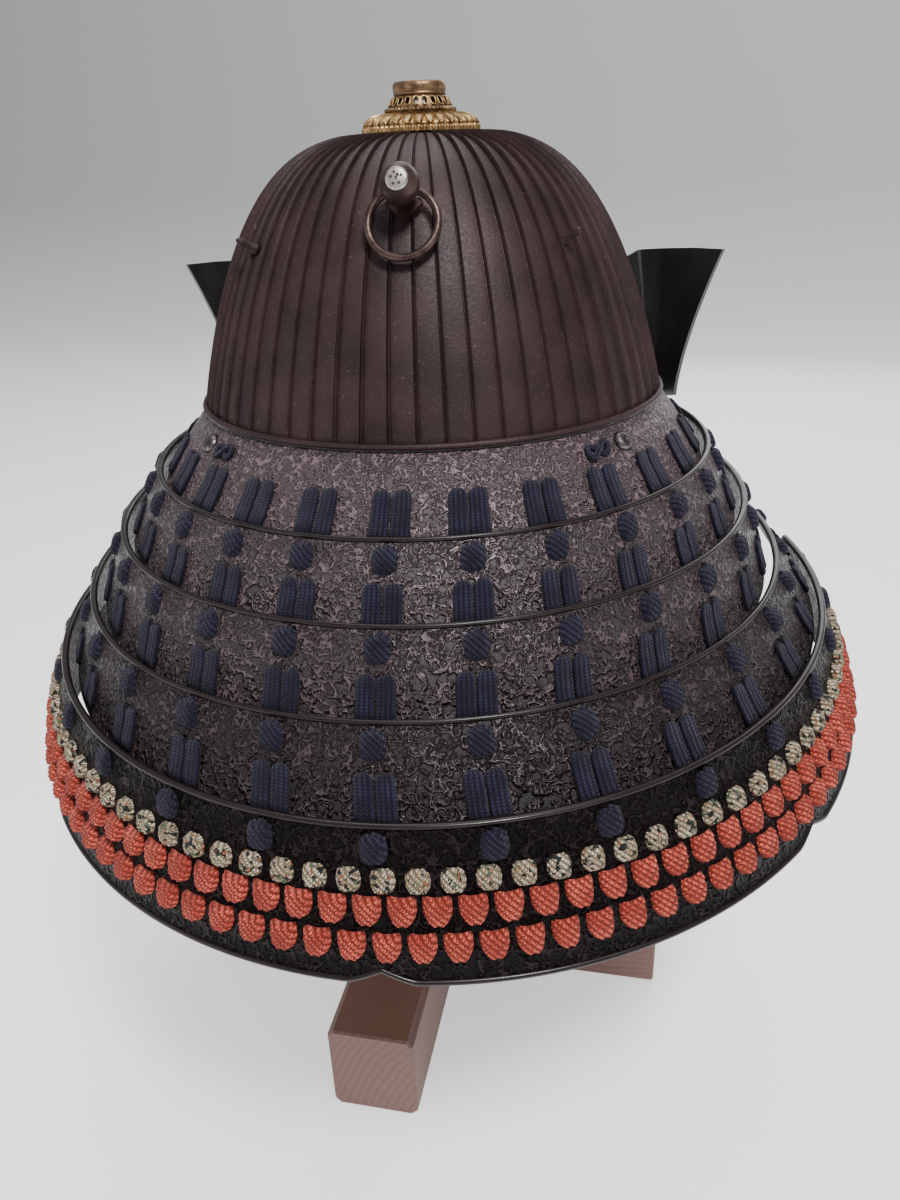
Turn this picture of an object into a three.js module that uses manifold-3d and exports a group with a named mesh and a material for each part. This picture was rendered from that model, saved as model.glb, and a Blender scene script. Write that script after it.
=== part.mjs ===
// A samurai helmet (kabuto) on a plain wooden stand, in millimetres, +Z up.
// The helmet faces -Y, its back is +Y, and the wearer's left is +X. The stand's underside is at Z = 0.
import * as THREE from 'three';
import { mergeVertices } from 'three/addons/utils/BufferGeometryUtils.js';
import Module from 'manifold-3d';

const wasm = await Module();
wasm.setup();

// ---- driving dimensions ------------------------------------------------------------------------
const edgeHeight = 335; // the bowl's lower edge above the floor
const gap = 0.4; // left between touching pieces

const bowl = { halfWidth: 102.5, halfLength: 105.5, centreY: 3.5, crownY: 6, height: 105, wall: 2.4 };
const bowlCurve = { squareness: 3.78, roundness: 1.06 }; // how upright the sides, how full the crown
const plates = { count: 60, turn: -1.2, ridge: 2, ridgeFade: 26, crownHole: 12 };

const ornament = { radius: 24.5, petals: 32, slots: 22, collarFoot: 14.3, collarTop: 10.8, bore: 8.6 };
const post = {
  angle: -2.4, rise: 0.795, tilt: 16, neck: 4.2, neckFoot: 4, ball: 7, ballAt: 14.4, eye: 6, eyeRadius: 2.7,
  disc: 4.2, discAt: 20.2, discTop: 21.6, plateThick: 1.3,
};
const lozenge = { top: 5, side: 6.9, sideDrop: 6.4, bottom: 13.4 }; // the post's plate, from the post's foot
const ring = { radius: 12.7, wire: 1.45, hang: 28.5, slack: 0.8 };
const pegs = { angle: 48, rise: 0.62, length: 7, radius: 1.6 };

const lip = { reach: 2.3, thick: 1.5, skirt: 9, wall: 2 };
const lameWall = 2;
const tuck = 7.2; // how far a lame passes inside the rim of the next one down
const overlap = 8; // how far it goes on behind that rim
const rimProud = 1.5;
const skirtSway = 3.4; // the lowest lame hangs this much to the wearer's right

// A row for each horizontal edge of the neck guard: the bowl's edge, the rims of lames 2 to 5, the hem.
// drop is below the bowl's edge; laceStep is the angle from one lacing column to the next.
const levels = [
  { halfWidth: 104.8, backReach: 111.3, centreY: 3.5, drop: 0, sway: 0, laceStep: 13.8 },
  { halfWidth: 126.5, backReach: 143, centreY: 4, drop: 24, sway: 0, laceStep: 13.3 },
  { halfWidth: 143.5, backReach: 166, centreY: 8, drop: 46, sway: 0, laceStep: 12.8 },
  { halfWidth: 158, backReach: 188, centreY: 13, drop: 69.5, sway: -0.2, laceStep: 12.1 },
  { halfWidth: 177.5, backReach: 213, centreY: 4, drop: 91, sway: -skirtSway, laceStep: 11.9 },
  { halfWidth: 193, backReach: 226, centreY: 10, drop: 143, sway: -1.6 * skirtSway, laceStep: 11.9 },
];
const lameCount = 5;
const cusps = { angles: [-104, -52, 0, 52, 104], rise: 4, halfAngle: 2.6 };

const lace = { columns: 17, width: 13.5, thick: 1.7, neck: 0.9, start: 0.5, gap: 0.6 };
const slot = { top: 2.3, bottom: 8.6, spare: 0.7 };
const studs = { angle: 50.5, along: 0.28, radius: 3.4, rise: 2.6 };
const ties = { angle: 42.4, along: 0.3, length: 5, width: 3, rise: 1.6 };

const peak = { spread: 56, reach: 46, drop: 17, wall: 2.2 };
const wing = { wall: 2, flick: 1.5 };
// The turned-back wing, from its root at the first lame's end, round the front bend, to its outer edge.
const wingStations = [
  { topX: 93.6, topY: -47.6, topZ: -5, footX: 108.2, footY: -61, footZ: -24 },
  { topX: 96, topY: -60, topZ: 6, footX: 109.5, footY: -70, footZ: -25 },
  { topX: 91, topY: -76, topZ: 32, footX: 107, footY: -84, footZ: -27 },
  { topX: 91, topY: -89, topZ: 45, footX: 105, footY: -93, footZ: -28 },
  { topX: 99, topY: -95, topZ: 48.5, footX: 108, footY: -97, footZ: -29 },
  { topX: 112, topY: -92, topZ: 49, footX: 113, footY: -94, footZ: -29 },
  { topX: 127, topY: -82, topZ: 49.5, footX: 118, footY: -88, footZ: -28 },
  { topX: 140, topY: -67, topZ: 49.5, footX: 122.5, footY: -80, footZ: -26 },
];

const foot = { x: 16, y: 9, turn: -5.3, wide: 43, tall: 51, back: 124, front: 125, side: 135, chamfer: 3 };
const column = { wide: 34 };
const head = { centreY: 7, radius: 50, bottom: 58, top: 101.2 };

// ---- materials ---------------------------------------------------------------------------------
const finish = (color, roughness, metalness) =>
  new THREE.MeshStandardMaterial({ color, roughness, metalness });
const russetIron = finish(0x43322f, 0.55, 0.7);
const lacquer = finish(0x3a3032, 0.4, 0.1);
const blackLacquer = finish(0x0f0f10, 0.15, 0.1);
const silk = finish(0x1d2238, 0.85, 0);
const gilt = finish(0xb48f4e, 0.35, 0.95);
const bronze = finish(0x4a3a30, 0.4, 0.85);
const darkSilver = finish(0x9c9a9c, 0.35, 0.9);
const silver = finish(0xd9d4cd, 0.3, 0.95);
const wood = finish(0x8c6c62, 0.7, 0);

// ---- small helpers -----------------------------------------------------------------------------
const rad = THREE.MathUtils.degToRad;
const lerp = THREE.MathUtils.lerp;
const point = (x, y, z) => new THREE.Vector3(x, y, z);
const range = (count) => [...Array(count).keys()];
const spread = (from, to, steps) => range(steps + 1).map((k) => lerp(from, to, k / steps));

function geometryFrom(points, triangles) {
  const geometry = new THREE.BufferGeometry();
  const places = new Float32Array(points.flatMap((p) => [p.x, p.y, p.z]));
  geometry.setAttribute('position', new THREE.BufferAttribute(places, 3));
  geometry.setIndex(triangles.flat());
  return volumeOf(points, triangles) < 0 ? flipped(geometry) : geometry;
}

function volumeOf(points, triangles) {
  const cross = new THREE.Vector3();
  const share = ([a, b, c]) => points[a].dot(cross.crossVectors(points[b], points[c]));
  return triangles.reduce((sum, triangle) => sum + share(triangle), 0);
}

function flipped(geometry) {
  const index = geometry.index.array;
  for (let k = 0; k < index.length; k += 3) [index[k], index[k + 1]] = [index[k + 1], index[k]];
  return geometry;
}

// A solid from closed loops of equal length: each loop is joined to the next, and the ends are capped
// unless the row of loops closes on itself. windows lists {column, outer, inner}: the face between loops
// column and column + 1 at side outer, and the one behind it at side inner, are left open and walled.
function loft(loops, { closed = false, windows = [] } = {}) {
  const size = loops[0].length;
  const points = loops.flat();
  const at = (column, side) => (column % loops.length) * size + (side % size);
  const triangles = [];
  const quad = (a, b, c, d) => triangles.push([a, b, c], [a, c, d]);
  const open = new Set(windows.flatMap((w) => [`${w.column},${w.outer}`, `${w.column},${w.inner}`]));
  const columns = closed ? loops.length : loops.length - 1;
  for (const i of range(columns)) {
    for (const j of range(size)) {
      if (!open.has(`${i},${j}`)) quad(at(i, j), at(i + 1, j), at(i + 1, j + 1), at(i, j + 1));
    }
  }
  for (const { column: i, outer, inner } of windows) {
    quad(at(i, outer), at(i + 1, outer), at(i + 1, inner + 1), at(i, inner + 1));
    quad(at(i, inner), at(i + 1, inner), at(i + 1, outer + 1), at(i, outer + 1));
    if (!open.has(`${i - 1},${outer}`)) quad(at(i, outer), at(i, inner + 1), at(i, inner), at(i, outer + 1));
    if (!open.has(`${i + 1},${outer}`)) {
      quad(at(i + 1, outer + 1), at(i + 1, inner), at(i + 1, inner + 1), at(i + 1, outer));
    }
  }
  if (!closed) {
    const last = loops.length - 1;
    const cap = capOf(loops[0]);
    for (const corners of cap) triangles.push(corners.map((side) => at(0, side)));
    for (const corners of capOf(loops[last])) triangles.push(corners.map((side) => at(last, side)).reverse());
    orientCaps(triangles, cap.length);
  }
  return geometryFrom(points, triangles);
}

// Triangles over a closed loop, cut in the plane that it lies nearest to.
function capOf(loop) {
  const middle = loop.reduce((sum, p) => sum.add(p), point(0, 0, 0)).divideScalar(loop.length);
  const normal = point(0, 0, 0);
  loop.forEach((p, k) => {
    const next = loop[(k + 1) % loop.length];
    normal.add(p.clone().sub(middle).cross(next.clone().sub(middle)));
  });
  normal.normalize();
  const across = loop[1].clone().sub(loop[0]).normalize();
  const up = normal.clone().cross(across);
  const flat = loop.map((p) => {
    const from = p.clone().sub(middle);
    return new THREE.Vector2(from.dot(across), from.dot(up));
  });
  return THREE.ShapeUtils.triangulateShape(flat, []);
}

// Turns a cap round where one of its edges runs the same way as the side that it joins.
function orientCaps(triangles, capSize) {
  const sides = new Set();
  const caps = triangles.splice(triangles.length - 2 * capSize);
  const edgesOf = ([a, b, c]) => [[a, b], [b, c], [c, a]].map((edge) => edge.join());
  for (const triangle of triangles) edgesOf(triangle).forEach((edge) => sides.add(edge));
  const turn = (cap) => cap.some((triangle) => edgesOf(triangle).some((edge) => sides.has(edge)));
  for (const cap of [caps.slice(0, capSize), caps.slice(capSize)]) {
    const wrong = turn(cap);
    cap.forEach(([a, b, c]) => triangles.push(wrong ? [c, b, a] : [a, b, c]));
  }
}

// A wall of even thickness behind a surface given over u and v from 0 to 1.
function shell(surface, acrossSteps, upSteps, wall) {
  const small = 1e-3;
  const normalAt = (u, v) => {
    const du = surface(Math.min(u + small, 1), v).sub(surface(Math.max(u - small, 0), v));
    const dv = surface(u, Math.min(v + small, 1)).sub(surface(u, Math.max(v - small, 0)));
    return du.cross(dv).normalize();
  };
  const loops = spread(0, 1, acrossSteps).map((u) => {
    const front = spread(0, 1, upSteps).map((v) => surface(u, v));
    const back = spread(1, 0, upSteps).map((v) => surface(u, v).addScaledVector(normalAt(u, v), -wall));
    return [...front, ...back];
  });
  return loft(loops);
}

function toManifold(geometry) {
  const bare = geometry.clone();
  bare.deleteAttribute('normal');
  bare.deleteAttribute('uv');
  const merged = mergeVertices(bare, 1e-4);
  const mesh = new wasm.Mesh({
    numProp: 3,
    vertProperties: new Float32Array(merged.attributes.position.array),
    triVerts: new Uint32Array(merged.index.array),
  });
  return new wasm.Manifold(mesh);
}

function fromManifold(solid) {
  const { vertProperties, triVerts } = solid.getMesh();
  const geometry = new THREE.BufferGeometry();
  geometry.setAttribute('position', new THREE.BufferAttribute(new Float32Array(vertProperties), 3));
  geometry.setIndex(new THREE.BufferAttribute(new Uint32Array(triVerts), 1));
  return geometry;
}

// A lathe turned about +Z from [radius, height] pairs that start and end on the axis.
function turned(profile, segments) {
  const geometry = new THREE.LatheGeometry(profile.map(([r, z]) => new THREE.Vector2(r, z)), segments);
  return geometry.rotateX(Math.PI / 2);
}

// Stands a geometry made about +Z at a place, with its +Z along a direction.
function stood(geometry, place, direction) {
  const turn = new THREE.Quaternion().setFromUnitVectors(point(0, 0, 1), direction.clone().normalize());
  return geometry.applyQuaternion(turn).translate(place.x, place.y, place.z);
}

// ---- the bowl ----------------------------------------------------------------------------------
// How wide the dome is at a rise from 0 at its edge to 1 at its crown, as a share of its width there.
const domeShare = (rise) => (1 - rise ** bowlCurve.roundness) ** (1 / bowlCurve.squareness);

// A point of the dome; angles run from the back, 0, towards the wearer's left; inset goes inwards.
function domePoint(angle, rise, inset = 0) {
  const share = domeShare(rise);
  const centreY = lerp(bowl.crownY, bowl.centreY, share);
  const x = (bowl.halfWidth - inset) * share * Math.sin(rad(angle));
  const y = centreY + (bowl.halfLength - inset) * share * Math.cos(rad(angle));
  return point(x, y, edgeHeight + (bowl.height - inset) * rise);
}

function domeNormal(angle, rise) {
  const small = 0.004;
  const around = domePoint(angle + 1, rise).sub(domePoint(angle - 1, rise));
  const up = domePoint(angle, rise + small).sub(domePoint(angle, rise - small));
  return up.cross(around).normalize();
}

// Radial plates: each is plain for most of its width, then rises to a thin ridge at its edge.
function bowlGeometry() {
  const rises = [0, 0.22, 0.43, 0.61, 0.76, 0.88, 0.955, 0.988];
  const step = 360 / plates.count;
  const across = [{ at: 0, lift: 0 }, { at: 0.8, lift: 0 }, { at: 0.96, lift: 1 }];
  const marks = range(plates.count).flatMap((k) =>
    across.map(({ at, lift }) => ({ angle: plates.turn + (k + 0.5 + at) * step, lift })));
  const loops = rises.map((rise) => marks.map(({ angle, lift }) => {
    const beyond = domeShare(rise) * bowl.halfWidth - ornament.radius;
    const fade = THREE.MathUtils.clamp(beyond / plates.ridgeFade, 0, 1);
    const normal = domeNormal(angle, Math.max(rise, 0.01));
    return domePoint(angle, rise).addScaledVector(normal, lift * fade * plates.ridge);
  }));
  loops[0].forEach((p) => { p.z = edgeHeight; });
  const outside = pinched(loops, domePoint(0, 1));
  const innerAngles = spread(0, 360, 48).slice(0, -1);
  const innerLoops = rises.map((rise) => innerAngles.map((angle) => domePoint(angle, rise, bowl.wall)));
  innerLoops.unshift(innerLoops[0].map((p) => p.clone().setZ(edgeHeight - 5)));
  const inside = pinched(innerLoops, domePoint(0, 1, bowl.wall));
  const hole = turned([[0, -10], [plates.crownHole, -10], [plates.crownHole, 10], [0, 10]], 32);
  hole.translate(0, bowl.crownY, edgeHeight + bowl.height);
  return fromManifold(toManifold(outside).subtract(toManifold(inside)).subtract(toManifold(hole)));
}

// A solid on a stack of level loops, closed flat below and drawn to one point above.
function pinched(loops, tip) {
  const size = loops[0].length;
  const points = [...loops.flat(), tip];
  const triangles = [];
  for (const i of range(loops.length - 1)) {
    for (const j of range(size)) {
      const [a, b] = [i * size + j, i * size + ((j + 1) % size)];
      triangles.push([a, b, b + size], [a, b + size, a + size]);
    }
  }
  const top = (loops.length - 1) * size;
  for (const j of range(size)) triangles.push([top + j, top + ((j + 1) % size), points.length - 1]);
  for (const j of range(size - 2)) triangles.push([0, j + 2, j + 1]);
  return geometryFrom(points, triangles);
}

function pegGeometry(angle) {
  const { radius, length } = pegs;
  const profile = [[0, 0], [radius, 0], [radius * 0.85, length * 0.6], [radius * 0.35, length], [0, length]];
  const pin = turned(profile, 8);
  const normal = domeNormal(angle, pegs.rise);
  return stood(pin, domePoint(angle, pegs.rise).addScaledVector(normal, plates.ridge + gap), normal);
}

// ---- the crown ornament ------------------------------------------------------------------------
const crownTop = edgeHeight + bowl.height + gap;

// A low rounded ring of petals: the edge swells out between neighbouring petals' grooves.
function petalRingGeometry() {
  const profile = [
    { reach: 1, z: 0, groove: 1 }, { reach: 1.0, z: 3.4, groove: 1 }, { reach: 0.9, z: 5.6, groove: 0.7 },
    { reach: 0.62, z: 6.6, groove: 0 }, { reach: 0.54, z: 6.6, groove: 0 }, { reach: 0.54, z: 0, groove: 0 },
  ];
  const loops = range(ornament.petals * 2).map((k) => {
    const angle = (k * Math.PI) / ornament.petals;
    return profile.map(({ reach, z, groove }) => {
      const r = ornament.radius * reach - (k % 2) * groove;
      return point(r * Math.sin(angle), bowl.crownY + r * Math.cos(angle), crownTop + z);
    });
  });
  return loft(loops, { closed: true });
}

// A collar with a ring of tall slots cut through it and a rolled ring round its mouth.
function collarGeometry() {
  const { collarFoot: footR, collarTop: topR, bore } = ornament;
  const section = [
    [footR, 7], [footR, 8.4], [footR - 1.1, 9], [footR - 1.3, 9.8], [lerp(footR, topR, 0.75), 12.6],
    [topR - 0.4, 13.6], [topR + 0.2, 15], [topR, 17.6], [topR - 1, 18.4], [bore, 18], [bore, 12.6],
    [bore + 2, 9.8], [bore + 2.4, 7],
  ];
  const [outer, inner] = [3, 10];
  const slotShare = 0.62;
  const step = (2 * Math.PI) / ornament.slots;
  const angles = range(ornament.slots).flatMap((k) =>
    [(k - slotShare / 2) * step, (k + slotShare / 2) * step]);
  const loops = angles.map((angle) => section.map(([r, z]) =>
    point(r * Math.sin(angle), bowl.crownY + r * Math.cos(angle), crownTop + z)));
  const windows = range(ornament.slots).map((k) => ({ column: 2 * k, outer, inner }));
  return loft(loops, { closed: true, windows });
}

// ---- the ring and its post ---------------------------------------------------------------------
const postBase = domePoint(post.angle, post.rise);
const postAxis = point(0, Math.cos(rad(post.tilt)), Math.sin(rad(post.tilt)));
const onPost = (distance) => postBase.clone().addScaledVector(postAxis, distance);
const hangWay = point(0, Math.sin(rad(ring.hang)), -Math.cos(rad(ring.hang)));

function postGeometry() {
  const { neck, neckFoot, ball, ballAt, disc, discAt } = post;
  const round = spread(40, 146, 5).map((turn) =>
    [ball * Math.sin(rad(turn)), ballAt - ball * Math.cos(rad(turn))]);
  const stem = [[0, neckFoot], [neck, neckFoot], [neck, ballAt - 6]];
  const knob = turned([...stem, ...round, [disc, discAt], [0, discAt]], 20);
  stood(knob, postBase, postAxis);
  const outline = new THREE.Shape();
  outline.moveTo(0, -lozenge.top); // the outline's own Y runs down the bowl
  outline.lineTo(lozenge.side, lozenge.sideDrop);
  outline.lineTo(0, lozenge.bottom);
  outline.lineTo(-lozenge.side, lozenge.sideDrop);
  outline.closePath();
  const plate = new THREE.ExtrudeGeometry(outline, { depth: post.plateThick, bevelEnabled: false });
  const lift = plates.ridge + gap + 0.3;
  const normal = domeNormal(post.angle, post.rise);
  const upright = new THREE.Matrix4().makeBasis(point(1, 0, 0), normal.clone().cross(point(1, 0, 0)), normal);
  plate.applyMatrix4(upright);
  plate.translate(...postBase.clone().addScaledVector(normal, lift).toArray());
  const eye = new THREE.CylinderGeometry(post.eyeRadius, post.eyeRadius, 20, 12).rotateZ(Math.PI / 2);
  eye.translate(...onPost(post.eye).toArray());
  return fromManifold(toManifold(knob).add(toManifold(plate)).subtract(toManifold(eye)));
}

function discGeometry() {
  const { disc, discAt, discTop } = post;
  const foot = discAt + gap;
  const face = turned([[0, foot], [disc, foot], [disc - 0.4, discTop - 0.2], [0, discTop]], 16);
  return stood(face, postBase, postAxis);
}

function ringGeometry() {
  const hoop = new THREE.TorusGeometry(ring.radius, ring.wire, 8, 24);
  const flat = new THREE.Matrix4().makeBasis(point(1, 0, 0), hangWay, point(1, 0, 0).cross(hangWay));
  const centre = onPost(post.eye).addScaledVector(hangWay, ring.radius - ring.slack);
  return hoop.applyMatrix4(flat).translate(centre.x, centre.y, centre.z);
}

// ---- the band under the bowl, the peak and the wings -------------------------------------------
// A point of the bowl's edge, pushed outwards in plan.
function edgePoint(angle, outward, z) {
  const place = domePoint(angle, 0);
  const normal = point(Math.sin(rad(angle)) / bowl.halfWidth, Math.cos(rad(angle)) / bowl.halfLength, 0);
  return place.addScaledVector(normal.normalize(), outward).setZ(edgeHeight + z);
}

function neckBandGeometry() {
  const under = -gap - lip.thick;
  const section = [
    [lip.reach, -gap], [lip.reach, under], [-1, under], [-1, under - lip.skirt],
    [-1 - lip.wall, under - lip.skirt], [-1 - lip.wall, -gap],
  ];
  const angles = spread(0, 360, 44).slice(0, -1);
  return loft(angles.map((angle) => section.map(([out, z]) => edgePoint(angle, out, z))), { closed: true });
}

function peakGeometry() {
  const surface = (u, v) => {
    const across = lerp(-1, 1, u);
    const full = Math.cos((across * Math.PI) / 2) ** 0.8;
    const out = 1.5 + v * (7 + (peak.reach - 7) * full);
    const down = v * (3 + (peak.drop - 3) * full) + 3 * v * (1 - v);
    return edgePoint(180 + across * peak.spread, out, -gap - lip.thick - gap - down);
  };
  return shell(surface, 18, 4, peak.wall);
}

function wingGeometry(side) {
  const surface = (u, v) => {
    const place = u * (wingStations.length - 1);
    const k = Math.min(Math.floor(place), wingStations.length - 2);
    const share = place - k;
    const mix = (name) => lerp(wingStations[k][name], wingStations[k + 1][name], share);
    const outward = v ** (1 + (wing.flick - 1) * u);
    const x = lerp(mix('footX'), mix('topX'), outward);
    const y = lerp(mix('footY'), mix('topY'), outward);
    return point(side * x, y, edgeHeight + lerp(mix('footZ'), mix('topZ'), v));
  };
  return shell(surface, 2 * (wingStations.length - 1), 4, wing.wall * side);
}

// ---- the lames ---------------------------------------------------------------------------------
function levelPoint(level, angle, outward = 0) {
  const row = levels[level];
  const halfLength = row.backReach - row.centreY;
  const normal = point(Math.sin(rad(angle)) / row.halfWidth, Math.cos(rad(angle)) / halfLength, 0);
  normal.normalize();
  const place = point(row.halfWidth * Math.sin(rad(angle)), halfLength * Math.cos(rad(angle)), 0);
  place.addScaledVector(normal, outward);
  return place.add(point(row.sway, row.centreY, edgeHeight - row.drop));
}

// The frame of a lame at an angle: where its outer face starts, and the ways down it, round it and out.
function lameFrame(lame, angle) {
  const first = lame === 1;
  const top = levelPoint(lame - 1, angle, first ? -0.8 : 0);
  if (first) top.z -= gap + lip.thick + gap;
  const bottom = levelPoint(lame, angle, lame === lameCount ? 0 : -tuck);
  const down = bottom.clone().sub(top);
  const length = down.length();
  down.normalize();
  const around = levelPoint(lame - 1, angle + 1).sub(levelPoint(lame - 1, angle - 1)).normalize();
  const out = around.clone().cross(down).normalize();
  return { top, down, out, length };
}

// A point of a lame: a distance down from its top edge and a lift off its outer face.
function lamePoint(lame, angle, along, lift) {
  const { top, down, out } = lameFrame(lame, angle);
  return top.clone().addScaledVector(down, along).addScaledVector(out, lift);
}

const laceAngle = (level, column) => levels[level].laceStep * (column - (lace.columns - 1) / 2);
// At a slot the column is halfway between its places on the two lames that it joins.
const slotAngle = (lame, column) => (laceAngle(lame - 2, column) + laceAngle(lame - 1, column)) / 2;
const endAngle = (lame) => levels[lame - 1].laceStep * ((lace.columns - 1) / 2 + 0.45);

function halfAngleOf(lame, angle, halfWidth) {
  const arc = levelPoint(lame - 1, angle + 2).distanceTo(levelPoint(lame - 1, angle - 2)) / 4;
  return halfWidth / arc;
}

function lameGeometry(lame) {
  const hasSlots = lame > 1;
  const ends = endAngle(lame);
  const half = lace.width / 2 + slot.spare;
  const laceEdges = range(lace.columns).map((column) => {
    const middle = hasSlots ? slotAngle(lame, column) : laceAngle(0, column);
    return [middle - halfAngleOf(lame, middle, half), middle + halfAngleOf(lame, middle, half)];
  });
  const cuspAngles = lame === lameCount ? cusps.angles.filter((a) => Math.abs(a) < ends - 4) : [];
  const notches = cuspAngles.flatMap((a) => [a - cusps.halfAngle, a, a + cusps.halfAngle]);
  const angles = [-ends, ...laceEdges.flat(), ...notches, ends].sort((a, b) => a - b);
  const loops = angles.map((angle) => lameLoop(lame, angle));
  const windows = angles.slice(0, -1).flatMap((angle, column) => {
    const middle = (angle + angles[column + 1]) / 2;
    const inSlot = hasSlots && laceEdges.some(([from, to]) => middle > from && middle < to);
    return inSlot ? [{ column, outer: 4, inner: 10 }] : [];
  });
  return loft(loops, { windows });
}

// The section of a lame: a rolled rim, then the outer face down, then the inner face back up.
function lameLoop(lame, angle) {
  const { length } = lameFrame(lame, angle);
  const last = lame === lameCount;
  const nearest = Math.min(...cusps.angles.map((a) => Math.abs(a - angle)));
  const notch = last ? cusps.rise * Math.max(0, 1 - nearest / cusps.halfAngle) : 0;
  const end = last ? length - notch : length + overlap;
  const bulge = last ? 1.6 : 0.6;
  const middle = 0.55 * length;
  const outer = [[slot.top, 0], [slot.bottom, 0], [middle, bulge], [end, 0]];
  const inner = [[slot.bottom, -lameWall], [slot.top, -lameWall]];
  const back = [[end, -lameWall], [middle, bulge - lameWall], ...inner];
  const rim = [[-0.2, -lameWall], [-rimProud, -0.6], [-1, 1.2], [1, rimProud]];
  const plainTop = [[0, -lameWall], [0, -1.3], [0, -0.7], [0, 0]];
  const section = [...(lame === 1 ? plainTop : rim), ...outer, ...back];
  return section.map(([along, lift]) => lamePoint(lame, angle, along, lift));
}

// ---- the lacing --------------------------------------------------------------------------------
// One column of paired braid: down the face of a lame, behind the next rim, out through its slot, over.
function lacingGeometry(column) {
  const path = [];
  const add = (lame, angle, along, lift, thick) => path.push({ lame, angle, along, lift, thick });
  for (const lame of range(lameCount).map((k) => k + 1)) {
    const face = laceAngle(lame - 1, column);
    const { length } = lameFrame(lame, face);
    const raised = lace.gap + lace.thick / 2;
    if (lame > 1) {
      const angle = slotAngle(lame, column);
      const above = lameFrame(lame - 1, angle).length;
      add(lame - 1, angle, above - 1.5, raised, lace.neck);
      add(lame, angle, 2.6, -lameWall - 1.1, lace.neck);
      add(lame, angle, 5.9, -1.1, lace.thick * 0.8);
      add(lame, angle, 8.3, raised + 0.2, lace.thick);
      add(lame, angle, 11.8, raised + 0.2, lace.thick);
    }
    if (lame < lameCount) {
      const start = Math.max(lace.start * length, lame > 1 ? 14.5 : 0);
      add(lame, face, start - 1.4, lace.gap + lace.neck / 2 + 0.5, lace.neck);
      add(lame, face, start + 0.6, raised + 0.5, lace.thick);
    }
  }
  const loops = path.map((stop) => laceLoop(stop));
  return loft(loops);
}

function laceLoop({ lame, angle, along, lift, thick }) {
  const half = halfAngleOf(lame, angle, lace.width / 2);
  const corners = [[-half, thick / 2], [half, thick / 2], [half, -thick / 2], [-half, -thick / 2]];
  return corners.map(([side, rise]) => lamePoint(lame, angle + side, along, lift + rise));
}

function studGeometry(side) {
  const { radius, rise } = studs;
  const profile = [[0, 0], [radius, 0], [radius * 0.85, rise * 0.6], [radius * 0.4, rise], [0, rise]];
  const dome = turned(profile, 12);
  const { length, out } = lameFrame(1, side * studs.angle);
  return stood(dome, lamePoint(1, side * studs.angle, studs.along * length, gap + 0.3), out);
}

function tieGeometry(side) {
  const knot = new THREE.SphereGeometry(1, 10, 6);
  knot.scale(ties.length, ties.width, ties.rise).rotateZ(side * 0.5);
  const { length, out } = lameFrame(1, side * ties.angle);
  return stood(knot, lamePoint(1, side * ties.angle, ties.along * length, gap + ties.rise + 0.4), out);
}

// ---- the stand ---------------------------------------------------------------------------------
const block = (wide, long, tall) => new THREE.BoxGeometry(wide, long, tall);

// A beam with its four long edges and its ends bevelled; half of its depth is cut away at the crossing.
function beamGeometry(from, to, notchBelow) {
  const outline = new THREE.Shape();
  const { wide, tall, chamfer } = foot;
  const [halfWide, c] = [wide / 2, chamfer];
  outline.moveTo(-halfWide + c, 0);
  outline.lineTo(halfWide - c, 0);
  outline.lineTo(halfWide, c);
  outline.lineTo(halfWide, tall - c);
  outline.lineTo(halfWide - c, tall);
  outline.lineTo(-halfWide + c, tall);
  outline.lineTo(-halfWide, tall - c);
  outline.lineTo(-halfWide, c);
  outline.closePath();
  const bevel = { depth: to - from - 2, bevelThickness: 1, bevelSize: 1, bevelOffset: -1, bevelSegments: 1 };
  const beam = new THREE.ExtrudeGeometry(outline, bevel).rotateX(Math.PI / 2).translate(0, to - 1, 0);
  const notch = block(wide + 20, wide + 2 * gap, tall / 2 + gap / 2 + 10);
  notch.translate(0, 0, notchBelow ? tall / 4 + gap / 4 - 5 : tall * 0.75 - gap / 4 + 5);
  return fromManifold(toManifold(beam).subtract(toManifold(notch)));
}

function headGeometry() {
  const { radius, bottom, top } = head;
  const profile = [
    [0, bottom], [radius - 2, bottom], [radius, bottom + 2], [radius, top - 13], [radius - 4, top - 5],
    [radius - 12, top - 3], [radius - 22, top], [0, top],
  ];
  return turned(profile, 28).translate(0, head.centreY, edgeHeight);
}

// ---- assembly ----------------------------------------------------------------------------------
const helmet = new THREE.Group();
const stand = new THREE.Group();
stand.position.set(foot.x, foot.y, 0);
stand.rotation.z = rad(foot.turn);

function place(parent, name, geometry, material) {
  const mesh = new THREE.Mesh(geometry, material);
  mesh.name = name;
  parent.add(mesh);
  return mesh;
}

place(helmet, 'bowl', bowlGeometry(), russetIron);
place(helmet, 'neck_band', neckBandGeometry(), russetIron);
place(helmet, 'peak', peakGeometry(), blackLacquer);
place(helmet, 'crown_petal_ring', petalRingGeometry(), gilt);
place(helmet, 'crown_collar', collarGeometry(), gilt);
place(helmet, 'ring_post', postGeometry(), bronze);
place(helmet, 'ring_post_disc', discGeometry(), silver);
place(helmet, 'badge_ring', ringGeometry(), bronze);
const pegPlaces = [
  { name: 'peg_back_left', angle: pegs.angle }, { name: 'peg_back_right', angle: -pegs.angle },
  { name: 'peg_front_left', angle: 180 - pegs.angle }, { name: 'peg_front_right', angle: 180 + pegs.angle },
];
for (const { name, angle } of pegPlaces) place(helmet, name, pegGeometry(angle), russetIron);
for (const [name, side] of [['left', 1], ['right', -1]]) {
  place(helmet, `wing_${name}`, wingGeometry(side), blackLacquer);
  place(helmet, `stud_${name}`, studGeometry(side), darkSilver);
  place(helmet, `tie_knot_${name}`, tieGeometry(side), silk);
}
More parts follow.
